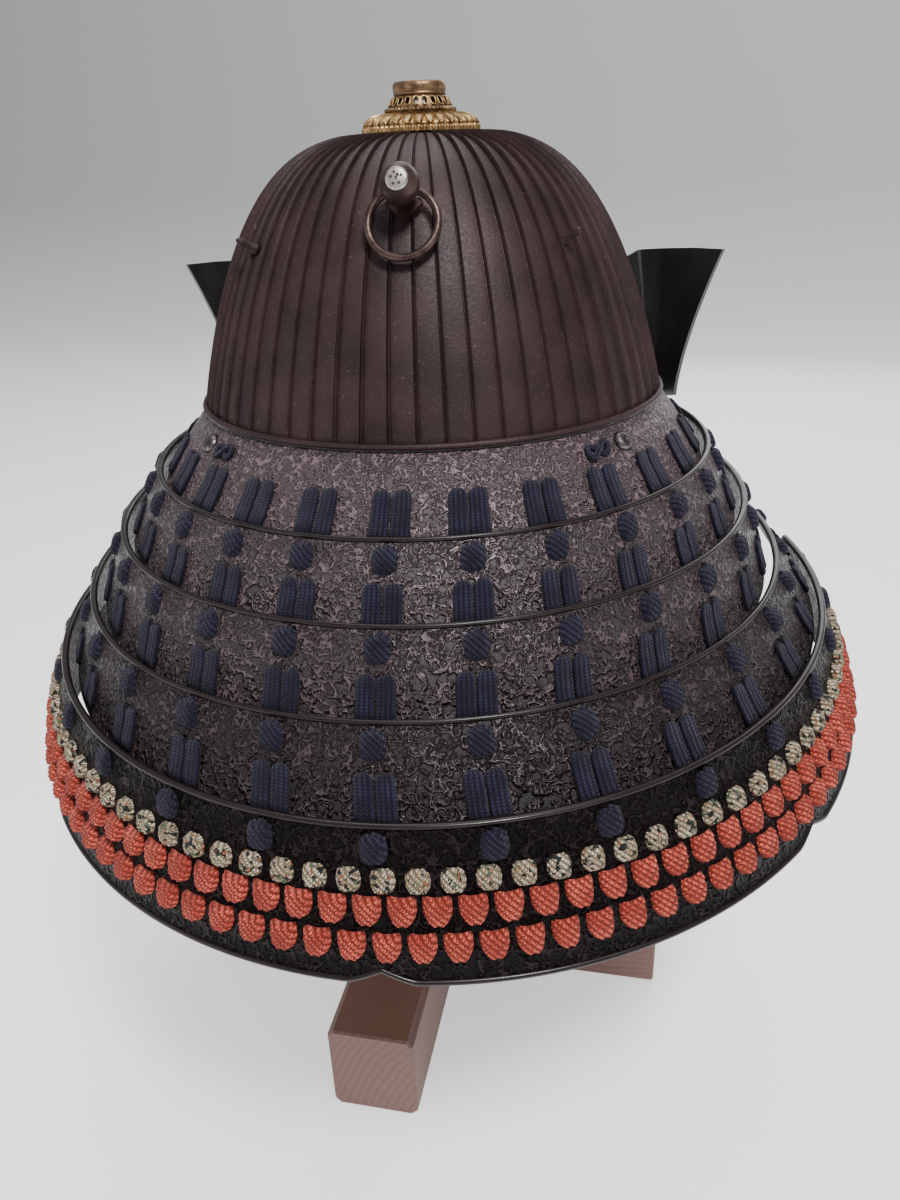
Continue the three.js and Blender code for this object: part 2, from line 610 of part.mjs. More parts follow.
for (const lame of range(lameCount).map((k) => k + 1)) {
  place(helmet, `lame_${lame}`, lameGeometry(lame), lacquer);
}
for (const column of range(lace.columns)) {
  place(helmet, `lacing_${String(column + 1).padStart(2, '0')}`, lacingGeometry(column), silk);
}
place(stand, 'foot_beam_long', beamGeometry(-foot.front, foot.back, false), wood);
const crossBeam = place(stand, 'foot_beam_cross', beamGeometry(-foot.side, foot.side, true), wood);
crossBeam.rotation.z = Math.PI / 2;
const columnTall = edgeHeight + head.bottom - foot.tall - 2 * gap;
const standColumn = place(stand, 'stand_column', block(column.wide, column.wide, columnTall), wood);
standColumn.position.z = foot.tall + gap + columnTall / 2;
place(helmet, 'stand_head', headGeometry(), wood);

const group = new THREE.Group();
group.name = 'helmet_on_stand';
group.add(helmet, stand);

export default group;
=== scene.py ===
import bmesh
import bpy
import numpy as np
from mathutils import Matrix, Vector


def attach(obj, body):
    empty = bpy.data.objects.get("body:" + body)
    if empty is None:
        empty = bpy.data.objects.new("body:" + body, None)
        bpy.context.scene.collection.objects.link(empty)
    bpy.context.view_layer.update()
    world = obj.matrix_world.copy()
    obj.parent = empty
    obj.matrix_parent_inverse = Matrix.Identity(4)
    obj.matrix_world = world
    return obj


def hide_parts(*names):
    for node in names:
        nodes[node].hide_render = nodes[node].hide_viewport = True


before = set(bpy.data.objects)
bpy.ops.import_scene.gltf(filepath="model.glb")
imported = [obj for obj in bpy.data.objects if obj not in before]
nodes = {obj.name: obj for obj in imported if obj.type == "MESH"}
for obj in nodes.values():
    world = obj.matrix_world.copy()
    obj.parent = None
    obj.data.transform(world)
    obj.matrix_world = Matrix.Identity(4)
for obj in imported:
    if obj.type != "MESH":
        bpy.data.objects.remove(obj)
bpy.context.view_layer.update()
print("frame loaded", len(nodes), "nodes")

# camera, looking down at the back
view = {
    "place": (-0.0592, 0.4370, 0.4282),  # metres
    "towards": (0.1148, -0.8974, -0.4261),
    "roll": 2.32,  # degrees
    "lens": 27.8,
}
forward = Vector(view["towards"]).normalized()
levelRight = forward.cross(Vector((0, 0, 1))).normalized()
levelUp = levelRight.cross(forward)
rollAngle = np.radians(view["roll"])
camRight = levelRight * np.cos(rollAngle) - levelUp * np.sin(rollAngle)
camUp = levelRight * np.sin(rollAngle) + levelUp * np.cos(rollAngle)
cameraData = bpy.data.cameras.new("camera")
cameraData.lens = view["lens"]
cameraData.sensor_width = 36
cameraData.sensor_fit = "AUTO"
cameraData.clip_start = 0.01
camera = bpy.data.objects.new("camera", cameraData)
bpy.context.scene.collection.objects.link(camera)
basis = Matrix((camRight, camUp, -forward)).transposed().to_4x4()
camera.matrix_world = Matrix.Translation(view["place"]) @ basis
bpy.context.scene.camera = camera


millimetre = 0.001  # in metres


# mesh helpers, all in millimetres
def linkMesh(name, points, quads, uv=None, sharpAbove=None):
    # points are turned to metres; the volume is the sum of the pyramids from the origin to each quad, and
    # quads that enclose a negative one are turned round
    a, b, c, d = (points[quads[:, k]] for k in range(4))
    volume = np.einsum("ij,ij->", a, np.cross(b, c)) + np.einsum("ij,ij->", a, np.cross(c, d))
    if volume < 0:
        quads = quads[:, ::-1]
    mesh = bpy.data.meshes.new(name)
    mesh.from_pydata((points * millimetre).tolist(), [], quads.tolist())
    if uv is not None:
        layer = mesh.uv_layers.new(name="UVMap")
        layer.data.foreach_set("uv", uv[quads.ravel()].ravel())
    mesh.polygons.foreach_set("use_smooth", np.ones(len(quads), bool))
    if sharpAbove:
        mesh.set_sharp_from_angle(angle=np.radians(sharpAbove))
    mesh.update()
    made = bpy.data.objects.new(name, mesh)
    bpy.context.scene.collection.objects.link(made)
    return made


def gridQuads(countU, countV, closedU=False, closedV=False):
    # one quad for each cell of a countU by countV grid of points
    u = np.arange(countU if closedU else countU - 1)
    v = np.arange(countV if closedV else countV - 1)
    u, v = (g.ravel() for g in np.meshgrid(u, v, indexing="ij"))
    u1, v1 = (u + 1) % countU, (v + 1) % countV
    return np.stack([u * countV + v, u1 * countV + v, u1 * countV + v1, u * countV + v1], 1)


def wallQuads(countU, countV, closedU=False):
    # an outer grid and an inner grid with the same counts, sewn together along their free edges
    half = countU * countV
    outer = gridQuads(countU, countV, closedU)
    inner = outer[:, ::-1] + half
    u = np.arange(countU if closedU else countU - 1)
    u1 = (u + 1) % countU
    last = countV - 1
    low = np.stack([u1 * countV, u * countV, u * countV + half, u1 * countV + half], 1)
    high = np.stack([u * countV + last, u1 * countV + last, u1 * countV + last + half, u * countV + last + half], 1)
    parts = [outer, inner, low, high]
    if not closedU:
        v = np.arange(countV - 1)
        end = (countU - 1) * countV
        parts.append(np.stack([v, v + 1, v + 1 + half, v + half], 1))
        parts.append(np.stack([end + v + 1, end + v, end + v + half, end + v + 1 + half], 1))
    return np.concatenate(parts)


def wallPiece(name, outer, inner, closedU=False, sharpAbove=None):
    # outer and inner are (countU, countV, 3) grids, sewn into one closed wall
    countU, countV = outer.shape[:2]
    points = np.concatenate([outer.reshape(-1, 3), inner.reshape(-1, 3)])
    return linkMesh(name, points, wallQuads(countU, countV, closedU), None, sharpAbove)


def drawnIn(loops):
    # adds a first and a last section whose points all lie at the middle of the end section
    first, last = (np.repeat(part.mean(1, keepdims=True), loops.shape[1], 1) for part in (loops[:1], loops[-1:]))
    return np.concatenate([first, loops, last])


def tubePiece(name, loops, closedU=False, uv=None, sharpAbove=None):
    # loops is (count, section, 3): closed sections along a path; open ends are drawn to their middles
    if not closedU:
        loops = drawnIn(loops)
    quads = gridQuads(loops.shape[0], loops.shape[1], closedU, True)
    made = linkMesh(name, loops.reshape(-1, 3), quads, None if uv is None else uv.reshape(-1, 2), sharpAbove)
    if not closedU:
        weld(made)
    return made


def weld(made):
    # merges points less than a thousandth of a millimetre apart, such as those of drawn-in ends
    work = bmesh.new()
    work.from_mesh(made.data)
    bmesh.ops.remove_doubles(work, verts=work.verts, dist=1e-6)
    work.to_mesh(made.data)
    work.free()


def repeatedQuads(quads, count, size):
    # the same quads for each of count parts of size points, numbered on from one part to the next
    return (quads[None] + (np.arange(count) * size)[:, None, None]).reshape(-1, 4)


def manyPieces(name, template, quads, origins, across, along, outward, uv=None):
    # copies of one template (x across, y along, z outward), each in its own frame, as one mesh
    count = len(origins)
    points = (origins[:, None] + template[None, :, :1] * across[:, None] + template[None, :, 1:2] * along[:, None]
              + template[None, :, 2:] * outward[:, None])
    allUv = None if uv is None else np.tile(uv, (count, 1))
    return linkMesh(name, points.reshape(-1, 3), repeatedQuads(quads, count, len(template)), allUv)


def unit(vectors):
    # each vector divided by its own length
    return vectors / np.linalg.norm(vectors, axis=-1, keepdims=True)


def fullTurn(count):
    # even angles round a full turn, its end left out
    return np.linspace(0, 2 * np.pi, count, endpoint=False)


def turnedLoops(profile, turns=96):
    # [radius, height] pairs turned about +Z: x is the radius times the sine of the turn, y times its cosine;
    # the result is (turns, pairs, 3)
    angle = fullTurn(turns)[:, None]
    profile = np.asarray(profile, float)
    return np.stack([profile[:, 0] * np.sin(angle), profile[:, 0] * np.cos(angle), profile[:, 1] + 0 * angle], -1)


def stood(points, place, direction):
    # turns points made about +Z so that +Z lies along a direction, and carries them to a place
    turn = np.array(Vector((0, 0, 1)).rotation_difference(Vector(direction)).to_matrix())
    return points @ turn.T + place


# material helpers
def startMaterial(name):
    # a new material with its node tree and its main shader
    made = bpy.data.materials.new(name)
    made.use_nodes = True
    tree = made.node_tree
    shader = tree.nodes["Principled BSDF"]
    return made, tree, shader


def feed(tree, node, inputs):
    # each input is linked where its value is an output, and is given the value otherwise
    for key, value in inputs.items():
        if hasattr(value, "is_output"):
            tree.links.new(value, node.inputs[key])
        else:
            node.inputs[key].default_value = value


def add(tree, kind, **settings):
    # a new node with its settings and its inputs
    node = tree.nodes.new(kind)
    inputs = settings.pop("inputs", {})
    for key, value in settings.items():
        setattr(node, key, value)
    feed(tree, node, inputs)
    return node


def calc(tree, operation, first, second=0.0):
    # one step of arithmetic on two values
    return add(tree, "ShaderNodeMath", operation=operation, inputs={0: first, 1: second}).outputs[0]


def ranged(tree, value, low, high, toLow=0.0, toHigh=1.0, smooth=False):
    # carries low to toLow and high to toHigh, in a straight or an eased line, and holds still beyond them
    kind = "SMOOTHSTEP" if smooth else "LINEAR"
    inputs = {"Value": value, "From Min": low, "From Max": high, "To Min": toLow, "To Max": toHigh}
    return add(tree, "ShaderNodeMapRange", interpolation_type=kind, inputs=inputs).outputs[0]


def blendColors(tree, factor, first, second):
    # the second colour times the factor, plus the first times what is left of one
    node = add(tree, "ShaderNodeMix", data_type="RGBA")
    for socket, value in ((node.inputs[0], factor), (node.inputs[6], first), (node.inputs[7], second)):
        if hasattr(value, "is_output"):
            tree.links.new(value, socket)
        else:
            socket.default_value = (*value[:3], 1)
    return node.outputs[2]


def objectPlace(tree):
    # the place on the object, in metres
    return add(tree, "ShaderNodeTexCoord").outputs["Object"]


def noise(tree, vector, scale, detail=3.0, rough=0.55, distort=0.0):
    # scale is lumps to the metre; detail is how many finer layers are added, each rough times as strong
    inputs = {"Vector": vector, "Scale": scale, "Detail": detail, "Roughness": rough, "Distortion": distort}
    return add(tree, "ShaderNodeTexNoise", inputs=inputs).outputs["Fac"]


def bumped(tree, shader, height, distance, strength=1.0):
    # tilts the shading by a height that is distance metres for a value of one
    node = add(tree, "ShaderNodeBump", inputs={"Height": height, "Distance": distance, "Strength": strength})
    tree.links.new(node.outputs[0], shader.inputs["Normal"])


def dress(made, material, body="helmet", stands=()):
    # one material for a piece; a piece of the scene's own is also attached to its body and hides what it stands for
    made.data.materials.clear()
    made.data.materials.append(material)
    if made.name not in nodes:
        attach(made, body)
        if stands:
            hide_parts(*stands)


# russeted iron: fine pits, brown patches, faint lighter streaks, and painted glints as fine pale specks
def russetMaterial(name, deep, light, pit=0.00025):
    made, tree, shader = startMaterial(name)
    place = objectPlace(tree)
    patches = noise(tree, place, 38, 4, 0.6)
    grain = noise(tree, place, 900, 3, 0.7)
    fleck = ranged(tree, noise(tree, place, 520, 2, 0.5), 0.72, 0.78)
    color = blendColors(tree, ranged(tree, patches, 0.35, 0.68), deep, light)
    color = blendColors(tree, calc(tree, "MULTIPLY", fleck, 0.25), color, (0.2, 0.14, 0.12))
    # painted glints: small pale specks where a fine noise is high, standing in for light sparkling on the iron
    paintedGlint = ranged(tree, noise(tree, place, 1500, 1, 0.5), 0.71, 0.77, 0.0, 0.45)
    color = blendColors(tree, paintedGlint, color, (0.2, 0.15, 0.14))
    rough = ranged(tree, grain, 0.3, 0.7, 0.42, 0.62)
    feed(tree, shader, {"Base Color": color, "Roughness": rough, "Metallic": 0.2, "Specular IOR Level": 0.3})
    bumped(tree, shader, calc(tree, "ADD", grain, calc(tree, "MULTIPLY", patches, 0.8)), pit, 0.6)
    return made


# lacquer over raised, wandering crumbs: level lines of two noises, broken up by a third
def crackledMaterial(name, low, high, scale, cover, gloss, height, shine):
    made, tree, shader = startMaterial(name)
    place = objectPlace(tree)

    def worms(size, width):
        # one where the noise is at its middle value, falling to nothing a width away
        field = noise(tree, place, size, 1.0, 0.4, 0.35)
        away = calc(tree, "ABSOLUTE", calc(tree, "SUBTRACT", field, 0.5))
        return ranged(tree, away, width * 0.15, width, 1.0, 0.0, True)

    keep = ranged(tree, noise(tree, place, scale * 0.9, 1, 0.4), cover - 0.05, cover + 0.05, 0.0, 1.0, True)
    ridge = calc(tree, "MULTIPLY", calc(tree, "MAXIMUM", worms(scale, 0.085), worms(scale * 1.35, 0.075)), keep)
    cells = add(tree, "ShaderNodeTexVoronoi", feature="SMOOTH_F1", inputs={"Vector": place, "Scale": scale * 1.4})
    crumb = ranged(tree, cells.outputs["Distance"], 0.1, 0.4, 1.0, 0.0, True)
    broad = noise(tree, place, 22, 2, 0.5)
    relief = calc(tree, "MAXIMUM", ridge, calc(tree, "MULTIPLY", crumb, 0.8))
    relief = calc(tree, "ADD", relief, calc(tree, "MULTIPLY", noise(tree, place, 1500, 2), 0.1))
    shade = blendColors(tree, ranged(tree, broad, 0.3, 0.7), tuple(0.65 * c for c in low), low)
    # the raised crumbs turn towards high: partly their own lighter lacquer, partly a painted highlight on their crests
    color = blendColors(tree, ranged(tree, relief, 0.25, 1.0), shade, high)
    rough = ranged(tree, relief, 0.1, 0.9, gloss + 0.2, gloss - 0.08)
    feed(tree, shader, {"Base Color": color, "Roughness": rough, "Specular IOR Level": shine})
    bumped(tree, shader, relief, height, 1.0)
    return made


# smooth lacquer with faint waviness and dust
def lacquerMaterial(name, color, rough, coat=0.35, shine=0.5):
    made, tree, shader = startMaterial(name)
    place = objectPlace(tree)
    wave = noise(tree, place, 60, 2, 0.5)
    dust = noise(tree, place, 700, 3, 0.65)
    worn = tuple(min(1, 2.4 * c + 0.01) for c in color)
    mixed = blendColors(tree, ranged(tree, dust, 0.58, 0.75, 0.0, 0.5), color, worn)
    uneven = ranged(tree, wave, 0.3, 0.7, rough * 0.8, rough * 1.3)
    feed(tree, shader, {"Base Color": mixed, "Roughness": uneven, "Coat Weight": coat, "Coat Roughness": 0.12,
                        "Specular IOR Level": shine})
    bumped(tree, shader, calc(tree, "ADD", wave, calc(tree, "MULTIPLY", dust, 0.1)), 0.0005, 0.35)
    return made


# braid: columns of plaited stitches; the UV map is in millimetres, u across and v along
def braidMaterial(name, deep, light, columnWidth, stitch, slant=1.0, flecks=(), height=0.0005):
    made, tree, shader = startMaterial(name)
    uv = add(tree, "ShaderNodeUVMap", uv_map="UVMap").outputs[0]
    parts = add(tree, "ShaderNodeSeparateXYZ", inputs={0: uv})
    across = calc(tree, "DIVIDE", parts.outputs[0], columnWidth)
    inColumn = calc(tree, "ABSOLUTE", calc(tree, "SUBTRACT", calc(tree, "FRACT", across), 0.5))
    climb = calc(tree, "MULTIPLY", inColumn, columnWidth * slant)
    step = calc(tree, "FRACT", calc(tree, "DIVIDE", calc(tree, "ADD", parts.outputs[1], climb), stitch))
    stitchRound = calc(tree, "SINE", calc(tree, "MULTIPLY", step, np.pi))
    bulge = calc(tree, "SQRT", ranged(tree, inColumn, 0.5, 0.0, 0.02, 1.0))
    weave = calc(tree, "MULTIPLY", bulge, ranged(tree, stitchRound, 0.0, 0.8, 0.45, 1.0))
    place = objectPlace(tree)
    fuzz = noise(tree, place, 2600, 2, 0.6)
    tint = noise(tree, place, 160, 2, 0.5)
    # painted shade: the colour falls to about a third of deep where the weave is low, in the gaps between stitches and
    # columns; it turns towards light where the stitch crowns meet a high random tint
    color = blendColors(tree, ranged(tree, weave, 0.2, 0.95), tuple(0.35 * c for c in deep), deep)
    color = blendColors(tree, ranged(tree, calc(tree, "MULTIPLY", weave, tint), 0.28, 0.62), color, light)
    for size, threshold, fleckColor in flecks:
        spots = ranged(tree, noise(tree, place, size, 1, 0.4), threshold, threshold + 0.03)
        color = blendColors(tree, spots, color, fleckColor)
    feed(tree, shader, {"Base Color": color, "Roughness": 0.8, "Sheen Weight": 0.06, "Sheen Roughness": 0.4,
                        "Specular IOR Level": 0.2})
    relief = calc(tree, "ADD", weave, calc(tree, "MULTIPLY", fuzz, 0.12))
    bumped(tree, shader, relief, height, 1.0)
    return made


# polished metal that is darker where the patina gathers
def metalMaterial(name, bright, dull, rough, patchSize=150, metallic=1.0):
    made, tree, shader = startMaterial(name)
    place = objectPlace(tree)
    patches = noise(tree, place, patchSize, 4, 0.6)
    fine = noise(tree, place, 1500, 2, 0.6)
    color = blendColors(tree, ranged(tree, patches, 0.38, 0.64), dull, bright)
    uneven = ranged(tree, patches, 0.35, 0.7, rough + 0.14, rough - 0.04)
    feed(tree, shader, {"Base Color": color, "Roughness": uneven, "Metallic": metallic})
    bumped(tree, shader, calc(tree, "ADD", fine, patches), 0.00015, 0.5)
    return made


ringsPerMetre = 280


# sawn wood: growth rings round a far-off heart, run along the beam, with pores, and painted light that gives the faces
# turned up a lighter, redder colour
def woodMaterial(name, alongAxis, heart, light, dark, upwardPaintedLight):
    made, tree, shader = startMaterial(name)
    source = add(tree, "ShaderNodeTexCoord").outputs["Object"]
    turned = add(tree, "ShaderNodeMapping", inputs={"Vector": source, "Rotation": alongAxis, "Location": heart})
    wobble = noise(tree, turned.outputs[0], 14, 2, 0.5)
    parts = add(tree, "ShaderNodeSeparateXYZ", inputs={0: turned.outputs[0]})
    fromHeart = calc(tree, "SQRT", calc(tree, "ADD", calc(tree, "POWER", parts.outputs[0], 2.0),
                                        calc(tree, "POWER", parts.outputs[2], 2.0)))
    swayed = calc(tree, "ADD", fromHeart, calc(tree, "MULTIPLY", wobble, 0.012))
    rings = calc(tree, "FRACT", calc(tree, "MULTIPLY", swayed, ringsPerMetre))
    late = calc(tree, "POWER", ranged(tree, rings, 0.35, 1.0), 2.5)
    stretched = add(tree, "ShaderNodeMapping", inputs={"Vector": turned.outputs[0], "Scale": (1, 0.03, 1)})
    pores = ranged(tree, noise(tree, stretched.outputs[0], 900, 2, 0.6), 0.56, 0.7)
    cloud = noise(tree, source, 18, 3, 0.55)
    color = blendColors(tree, late, light, dark)
    color = blendColors(tree, calc(tree, "MULTIPLY", pores, 0.35), color, dark)
    color = blendColors(tree, ranged(tree, cloud, 0.3, 0.7, 0.0, 0.22), color, tuple(0.8 * c for c in light))
    up = add(tree, "ShaderNodeSeparateXYZ", inputs={0: add(tree, "ShaderNodeNewGeometry").outputs["Normal"]}).outputs[2]
    color = blendColors(tree, ranged(tree, up, 0.75, 0.98, 0.0, upwardPaintedLight[3]), color, upwardPaintedLight[:3])
    feed(tree, shader, {"Base Color": color, "Roughness": ranged(tree, late, 0.0, 1.0, 0.62, 0.5)})
    bumped(tree, shader, calc(tree, "ADD", calc(tree, "MULTIPLY", late, 0.5), pores), 0.00025, 0.6)
    return made


ironColor = russetMaterial("russet_iron", (0.0148, 0.0061, 0.0066), (0.034, 0.0146, 0.0158))
lameShades = {  # how light, a painted shade that makes each lower lame darker; how much the crumbs stand out, crumb size, share left plain, gloss, height, shine
    1: (1.95, 2.4, 265, 0.34, 0.38, 0.0021, 0.5),
    2: (1.3, 2.6, 255, 0.36, 0.33, 0.003, 0.48),
    3: (0.95, 2.7, 245, 0.36, 0.32, 0.003, 0.38),
    4: (0.52, 2.9, 235, 0.36, 0.32, 0.003, 0.25),
    5: (0.14, 3.2, 205, 0.38, 0.34, 0.0028, 0.08),
}
lameFinish = {}
for number, (shade, contrast, size, plain, gloss, height, shine) in lameShades.items():
    low = (0.026 * shade, 0.0175 * shade, 0.0195 * shade)
    high = tuple(contrast * c for c in low)
    finish = crackledMaterial(f"crackled_lacquer_{number}", low, high, size, plain, gloss, height, shine)
    lameFinish[number] = finish
rollLacquer = lacquerMaterial("roll_lacquer", (0.008, 0.0038, 0.004), 0.3, 0.08, 0.26)
wingLacquer = lacquerMaterial("wing_lacquer", (0.009, 0.0075, 0.0075), 0.36)
navyBraid = braidMaterial("navy_braid", (0.009, 0.0072, 0.021), (0.024, 0.0205, 0.051), 1.65, 1.2, height=0.0008)
navyKnot = braidMaterial("navy_knot", (0.009, 0.0072, 0.021), (0.025, 0.0215, 0.051), 1.7, 1.0, 0.6, height=0.0008)
orangeKnot = braidMaterial("orange_knot", (0.46, 0.058, 0.036), (0.84, 0.15, 0.095), 1.75, 1.0, 0.7, height=0.0011)
creamFlecks = (  # lumps to the metre, how rare, colour
    (520, 0.57, (0.012, 0.014, 0.013)),
    (610, 0.66, (0.32, 0.1, 0.04)),
    (560, 0.66, (0.08, 0.12, 0.07)),
)
creamKnot = braidMaterial("cream_knot", (0.4, 0.31, 0.2), (0.72, 0.62, 0.48), 1.6, 1.0, 0.7, creamFlecks, 0.0011)
giltMetal = metalMaterial("gilt", (0.5, 0.33, 0.15), (0.2, 0.12, 0.055), 0.32, 260)
wornGilt = metalMaterial("worn_gilt", (0.26, 0.16, 0.085), (0.1, 0.06, 0.035), 0.36, 260)
bronzeMetal = metalMaterial("bronze", (0.1, 0.064, 0.057), (0.03, 0.017, 0.015), 0.36, 110, 0.85)
silverMetal = metalMaterial("silver", (0.48, 0.44, 0.42), (0.27, 0.23, 0.21), 0.36, 700)
studMetal = metalMaterial("stud_metal", (0.17, 0.15, 0.15), (0.05, 0.04, 0.04), 0.3, 300)
holeShade = lacquerMaterial("painted_hole_shade", (0.004, 0.003, 0.003), 0.7)
quarter = np.pi / 2
footTurn = np.radians(5.3)
# light, dark, then the painted light on the faces turned up and its strength
woodColors = ((0.175, 0.088, 0.073), (0.095, 0.044, 0.037), (0.22, 0.1, 0.066, 0.85))
woodLong = woodMaterial("wood_long_beam", (0, 0, footTurn), (0.085, 0, 0.03), *woodColors)
woodCross = woodMaterial("wood_cross_beam", (0, 0, footTurn + quarter), (0.07, 0, 0.05), *woodColors)
woodUpright = woodMaterial("wood_upright", (quarter, 0, 0), (0.05, 0, 0.06), *woodColors)
print("materials made")

# the bowl
edgeHeight = 335
bowl = {"halfWidth": 102.5, "halfLength": 105.5, "centreY": 3.5, "crownY": 6, "height": 105, "wall": 2.4,
        "squareness": 3.78, "roundness": 1.06, "plates": 60, "turn": -1.2, "ridge": 1.6, "hole": 12.0,
        "steepTo": 0.66, "fadeStart": 14, "fadeOver": 22, "fadeLeast": 0.4}


def domePoints(angle, share, inset=0.0):
    # an ellipse scaled by share, at the height where the dome is that wide; angle in degrees from the back
    rise = (1 - share ** bowl["squareness"]) ** (1 / bowl["roundness"])
    centreY = bowl["crownY"] + (bowl["centreY"] - bowl["crownY"]) * share
    x = (bowl["halfWidth"] - inset) * share * np.sin(np.radians(angle))
    y = centreY + (bowl["halfLength"] - inset) * share * np.cos(np.radians(angle))
    return np.stack(np.broadcast_arrays(x, y, edgeHeight + (bowl["height"] - inset) * rise), -1)


def shareAt(rise):
    # the share at which the dome has risen by a part of its height: domePoints' rise, solved for the share
    return (1 - rise ** bowl["roundness"]) ** (1 / bowl["squareness"])


def domeNormals(angle, share):
    # the step up the dome crossed with the step round it, each between two near points
    nearAngle, nearShare = 0.5, 0.004
    around = domePoints(angle + nearAngle, share) - domePoints(angle - nearAngle, share)
    up = domePoints(angle, share - nearShare) - domePoints(angle, np.minimum(share + nearShare, 1))
    return unit(np.cross(up, around))


# lift across one plate: a shallow groove, a faint swell, then a thin ridge at the far edge
across = np.array([0.0, 0.03, 0.07, 0.2, 0.5, 0.8, 0.885, 0.91, 0.935, 0.96, 0.98])
liftAcross = np.array([-0.55, -0.6, -0.1, 0.02, 0.1, 0.05, 0.0, 0.85, 1.0, 0.85, -0.3])
liftAcross = np.where(liftAcross > 0.8, liftAcross * bowl["ridge"], liftAcross)
step = 360 / bowl["plates"]
plateAngle = (bowl["turn"] + (np.arange(bowl["plates"])[:, None] + 0.5 + across) * step).ravel()
plateLift = np.tile(liftAcross, bowl["plates"])
# rows of points: even in height up the steep side, then even in width over the crown
shares = np.concatenate([shareAt(np.linspace(0, bowl["steepTo"], 22)),
                         np.linspace(shareAt(bowl["steepTo"]), bowl["hole"] / bowl["halfWidth"], 24)[1:]])
outerDome = domePoints(plateAngle[:, None], shares)
# the ridges grow weaker towards the crown hole
fade = np.clip((shares * bowl["halfWidth"] - bowl["fadeStart"]) / bowl["fadeOver"], bowl["fadeLeast"], 1)
outerDome = outerDome + domeNormals(plateAngle[:, None], shares) * (plateLift[:, None] * fade)[..., None]
outerDome[:, 0, 2] = edgeHeight
innerDome = domePoints(plateAngle[:, None], shares, bowl["wall"])
bowlPlates = wallPiece("bowl_plates", outerDome, innerDome, True, sharpAbove=42)
dress(bowlPlates, ironColor, "helmet", ("bowl",))


def edgePath(angle, outward, z):
    # the bowl's edge pushed outwards in plan by a distance
    radian = np.radians(angle)
    normal = unit(np.stack([np.sin(radian) / bowl["halfWidth"], np.cos(radian) / bowl["halfLength"], 0 * radian], -1))
    place = domePoints(angle, np.ones_like(angle))
    place = place + normal * outward
    place[:, 2] = edgeHeight + z
    return place, normal


def rollAlong(name, path, normal, radius, squash=1.0, sides=10, closed=True, direction=None):
    # a round section carried along a path, squashed in its second direction
    turn = fullTurn(sides)
    second = np.array([0, 0, 1.0]) if direction is None else direction[:, None]
    loops = path[:, None] + radius * np.cos(turn)[None, :, None] * normal[:, None] \
        + radius * squash * np.sin(turn)[None, :, None] * second
    return tubePiece(name, loops, closed)


edgeRoll = {"out": 1.6, "rise": -0.3, "radius": 1.35, "squash": 0.9}
lipPath, lipNormal = edgePath(np.linspace(0, 360, 240, endpoint=False), edgeRoll["out"], edgeRoll["rise"])
lipRoll = rollAlong("bowl_edge_roll", lipPath, lipNormal, edgeRoll["radius"], edgeRoll["squash"])
dress(lipRoll, ironColor, "helmet")
dress(nodes["neck_band"], rollLacquer)
print("bowl made")

# the crown ornament
crownTop = edgeHeight + bowl["height"] + 0.4
petals = {"count": 32, "samples": 16, "inner": 13.4, "outer": 24.4, "high": 6.7, "border": 0.8, "foot": 0.83,
          "lineHigh": 0.62, "sunk": 0.2, "gap": 0.55, "flute": 0.5, "groove": 0.5}


def petalRing(name):
    # a quarter-round ring; each petal is a raised U with a sunk middle, and flutes run round the lower edge
    samples = petals["samples"]
    count = petals["count"] * samples
    local = ((np.arange(count) % samples) / samples * 2 - 1)[:, None]
    theta = np.arange(count) / samples * 2 * np.pi / petals["count"]
    s = np.linspace(0, 1, 30)[None]
    turn = s * np.pi / 2
    reachOut = petals["outer"] - petals["inner"]
    r = petals["inner"] + reachOut * np.sin(turn) ** 0.85
    z = petals["high"] * np.cos(turn) ** 0.75
    border = petals["border"] * np.sqrt(np.clip(1 - (np.clip(s - 0.3, 0, 1) / 0.5) ** 2, 0, 1))
    away = np.abs(local) - border
    inside = np.clip(-away / 0.15, 0, 1)
    line = np.exp(-(away / 0.17) ** 2) * (s < petals["foot"])
    outside = np.clip(away / 0.12, 0, 1) * (s < 0.86)
    flute = petals["flute"] * np.clip((s - 0.82) / 0.05, 0, 1) * np.cos(2 * np.pi * local)
    groove = petals["groove"] * np.exp(-((s - 0.84) / 0.025) ** 2)
    sunk = petals["sunk"] * inside * (s < petals["foot"])
    relief = petals["lineHigh"] * line - sunk - petals["gap"] * outside + flute - groove
    relief = relief * np.clip(s * 12, 0, 1)
    r = r + relief * np.sin(turn)
    z = z + relief * np.cos(turn)
    r = np.concatenate([r, np.full((count, 2), petals["inner"])], 1)
    z = np.concatenate([z, np.full((count, 1), -0.3), np.full((count, 1), 3.0)], 1)
    loops = np.stack([r * np.sin(theta)[:, None], bowl["crownY"] + r * np.cos(theta)[:, None], crownTop + z], -1)
    return tubePiece(name, loops, True, sharpAbove=60)


dress(petalRing("crown_petals"), giltMetal, "helmet", ("crown_petal_ring",))

# a wire that swells into beads: its radius follows the sine of half the bead count times the angle
beads = {"count": 54, "samples": 8, "ring": 14.2, "radius": 0.95, "height": 8.1, "least": 0.45}
angle = fullTurn(beads["count"] * beads["samples"])
swell = beads["least"] + (1 - beads["least"]) * np.abs(np.sin(beads["count"] / 2 * angle)) ** 0.7
beadRadius = beads["radius"] * swell[:, None]
turn = fullTurn(8)
beadR = beads["ring"] + beadRadius * np.cos(turn)
beadLoops = np.stack([beadR * np.sin(angle)[:, None], bowl["crownY"] + beadR * np.cos(angle)[:, None],
                      crownTop + beads["height"] + beadRadius * np.sin(turn)], -1)
dress(tubePiece("crown_beads", beadLoops, True), wornGilt, "helmet")

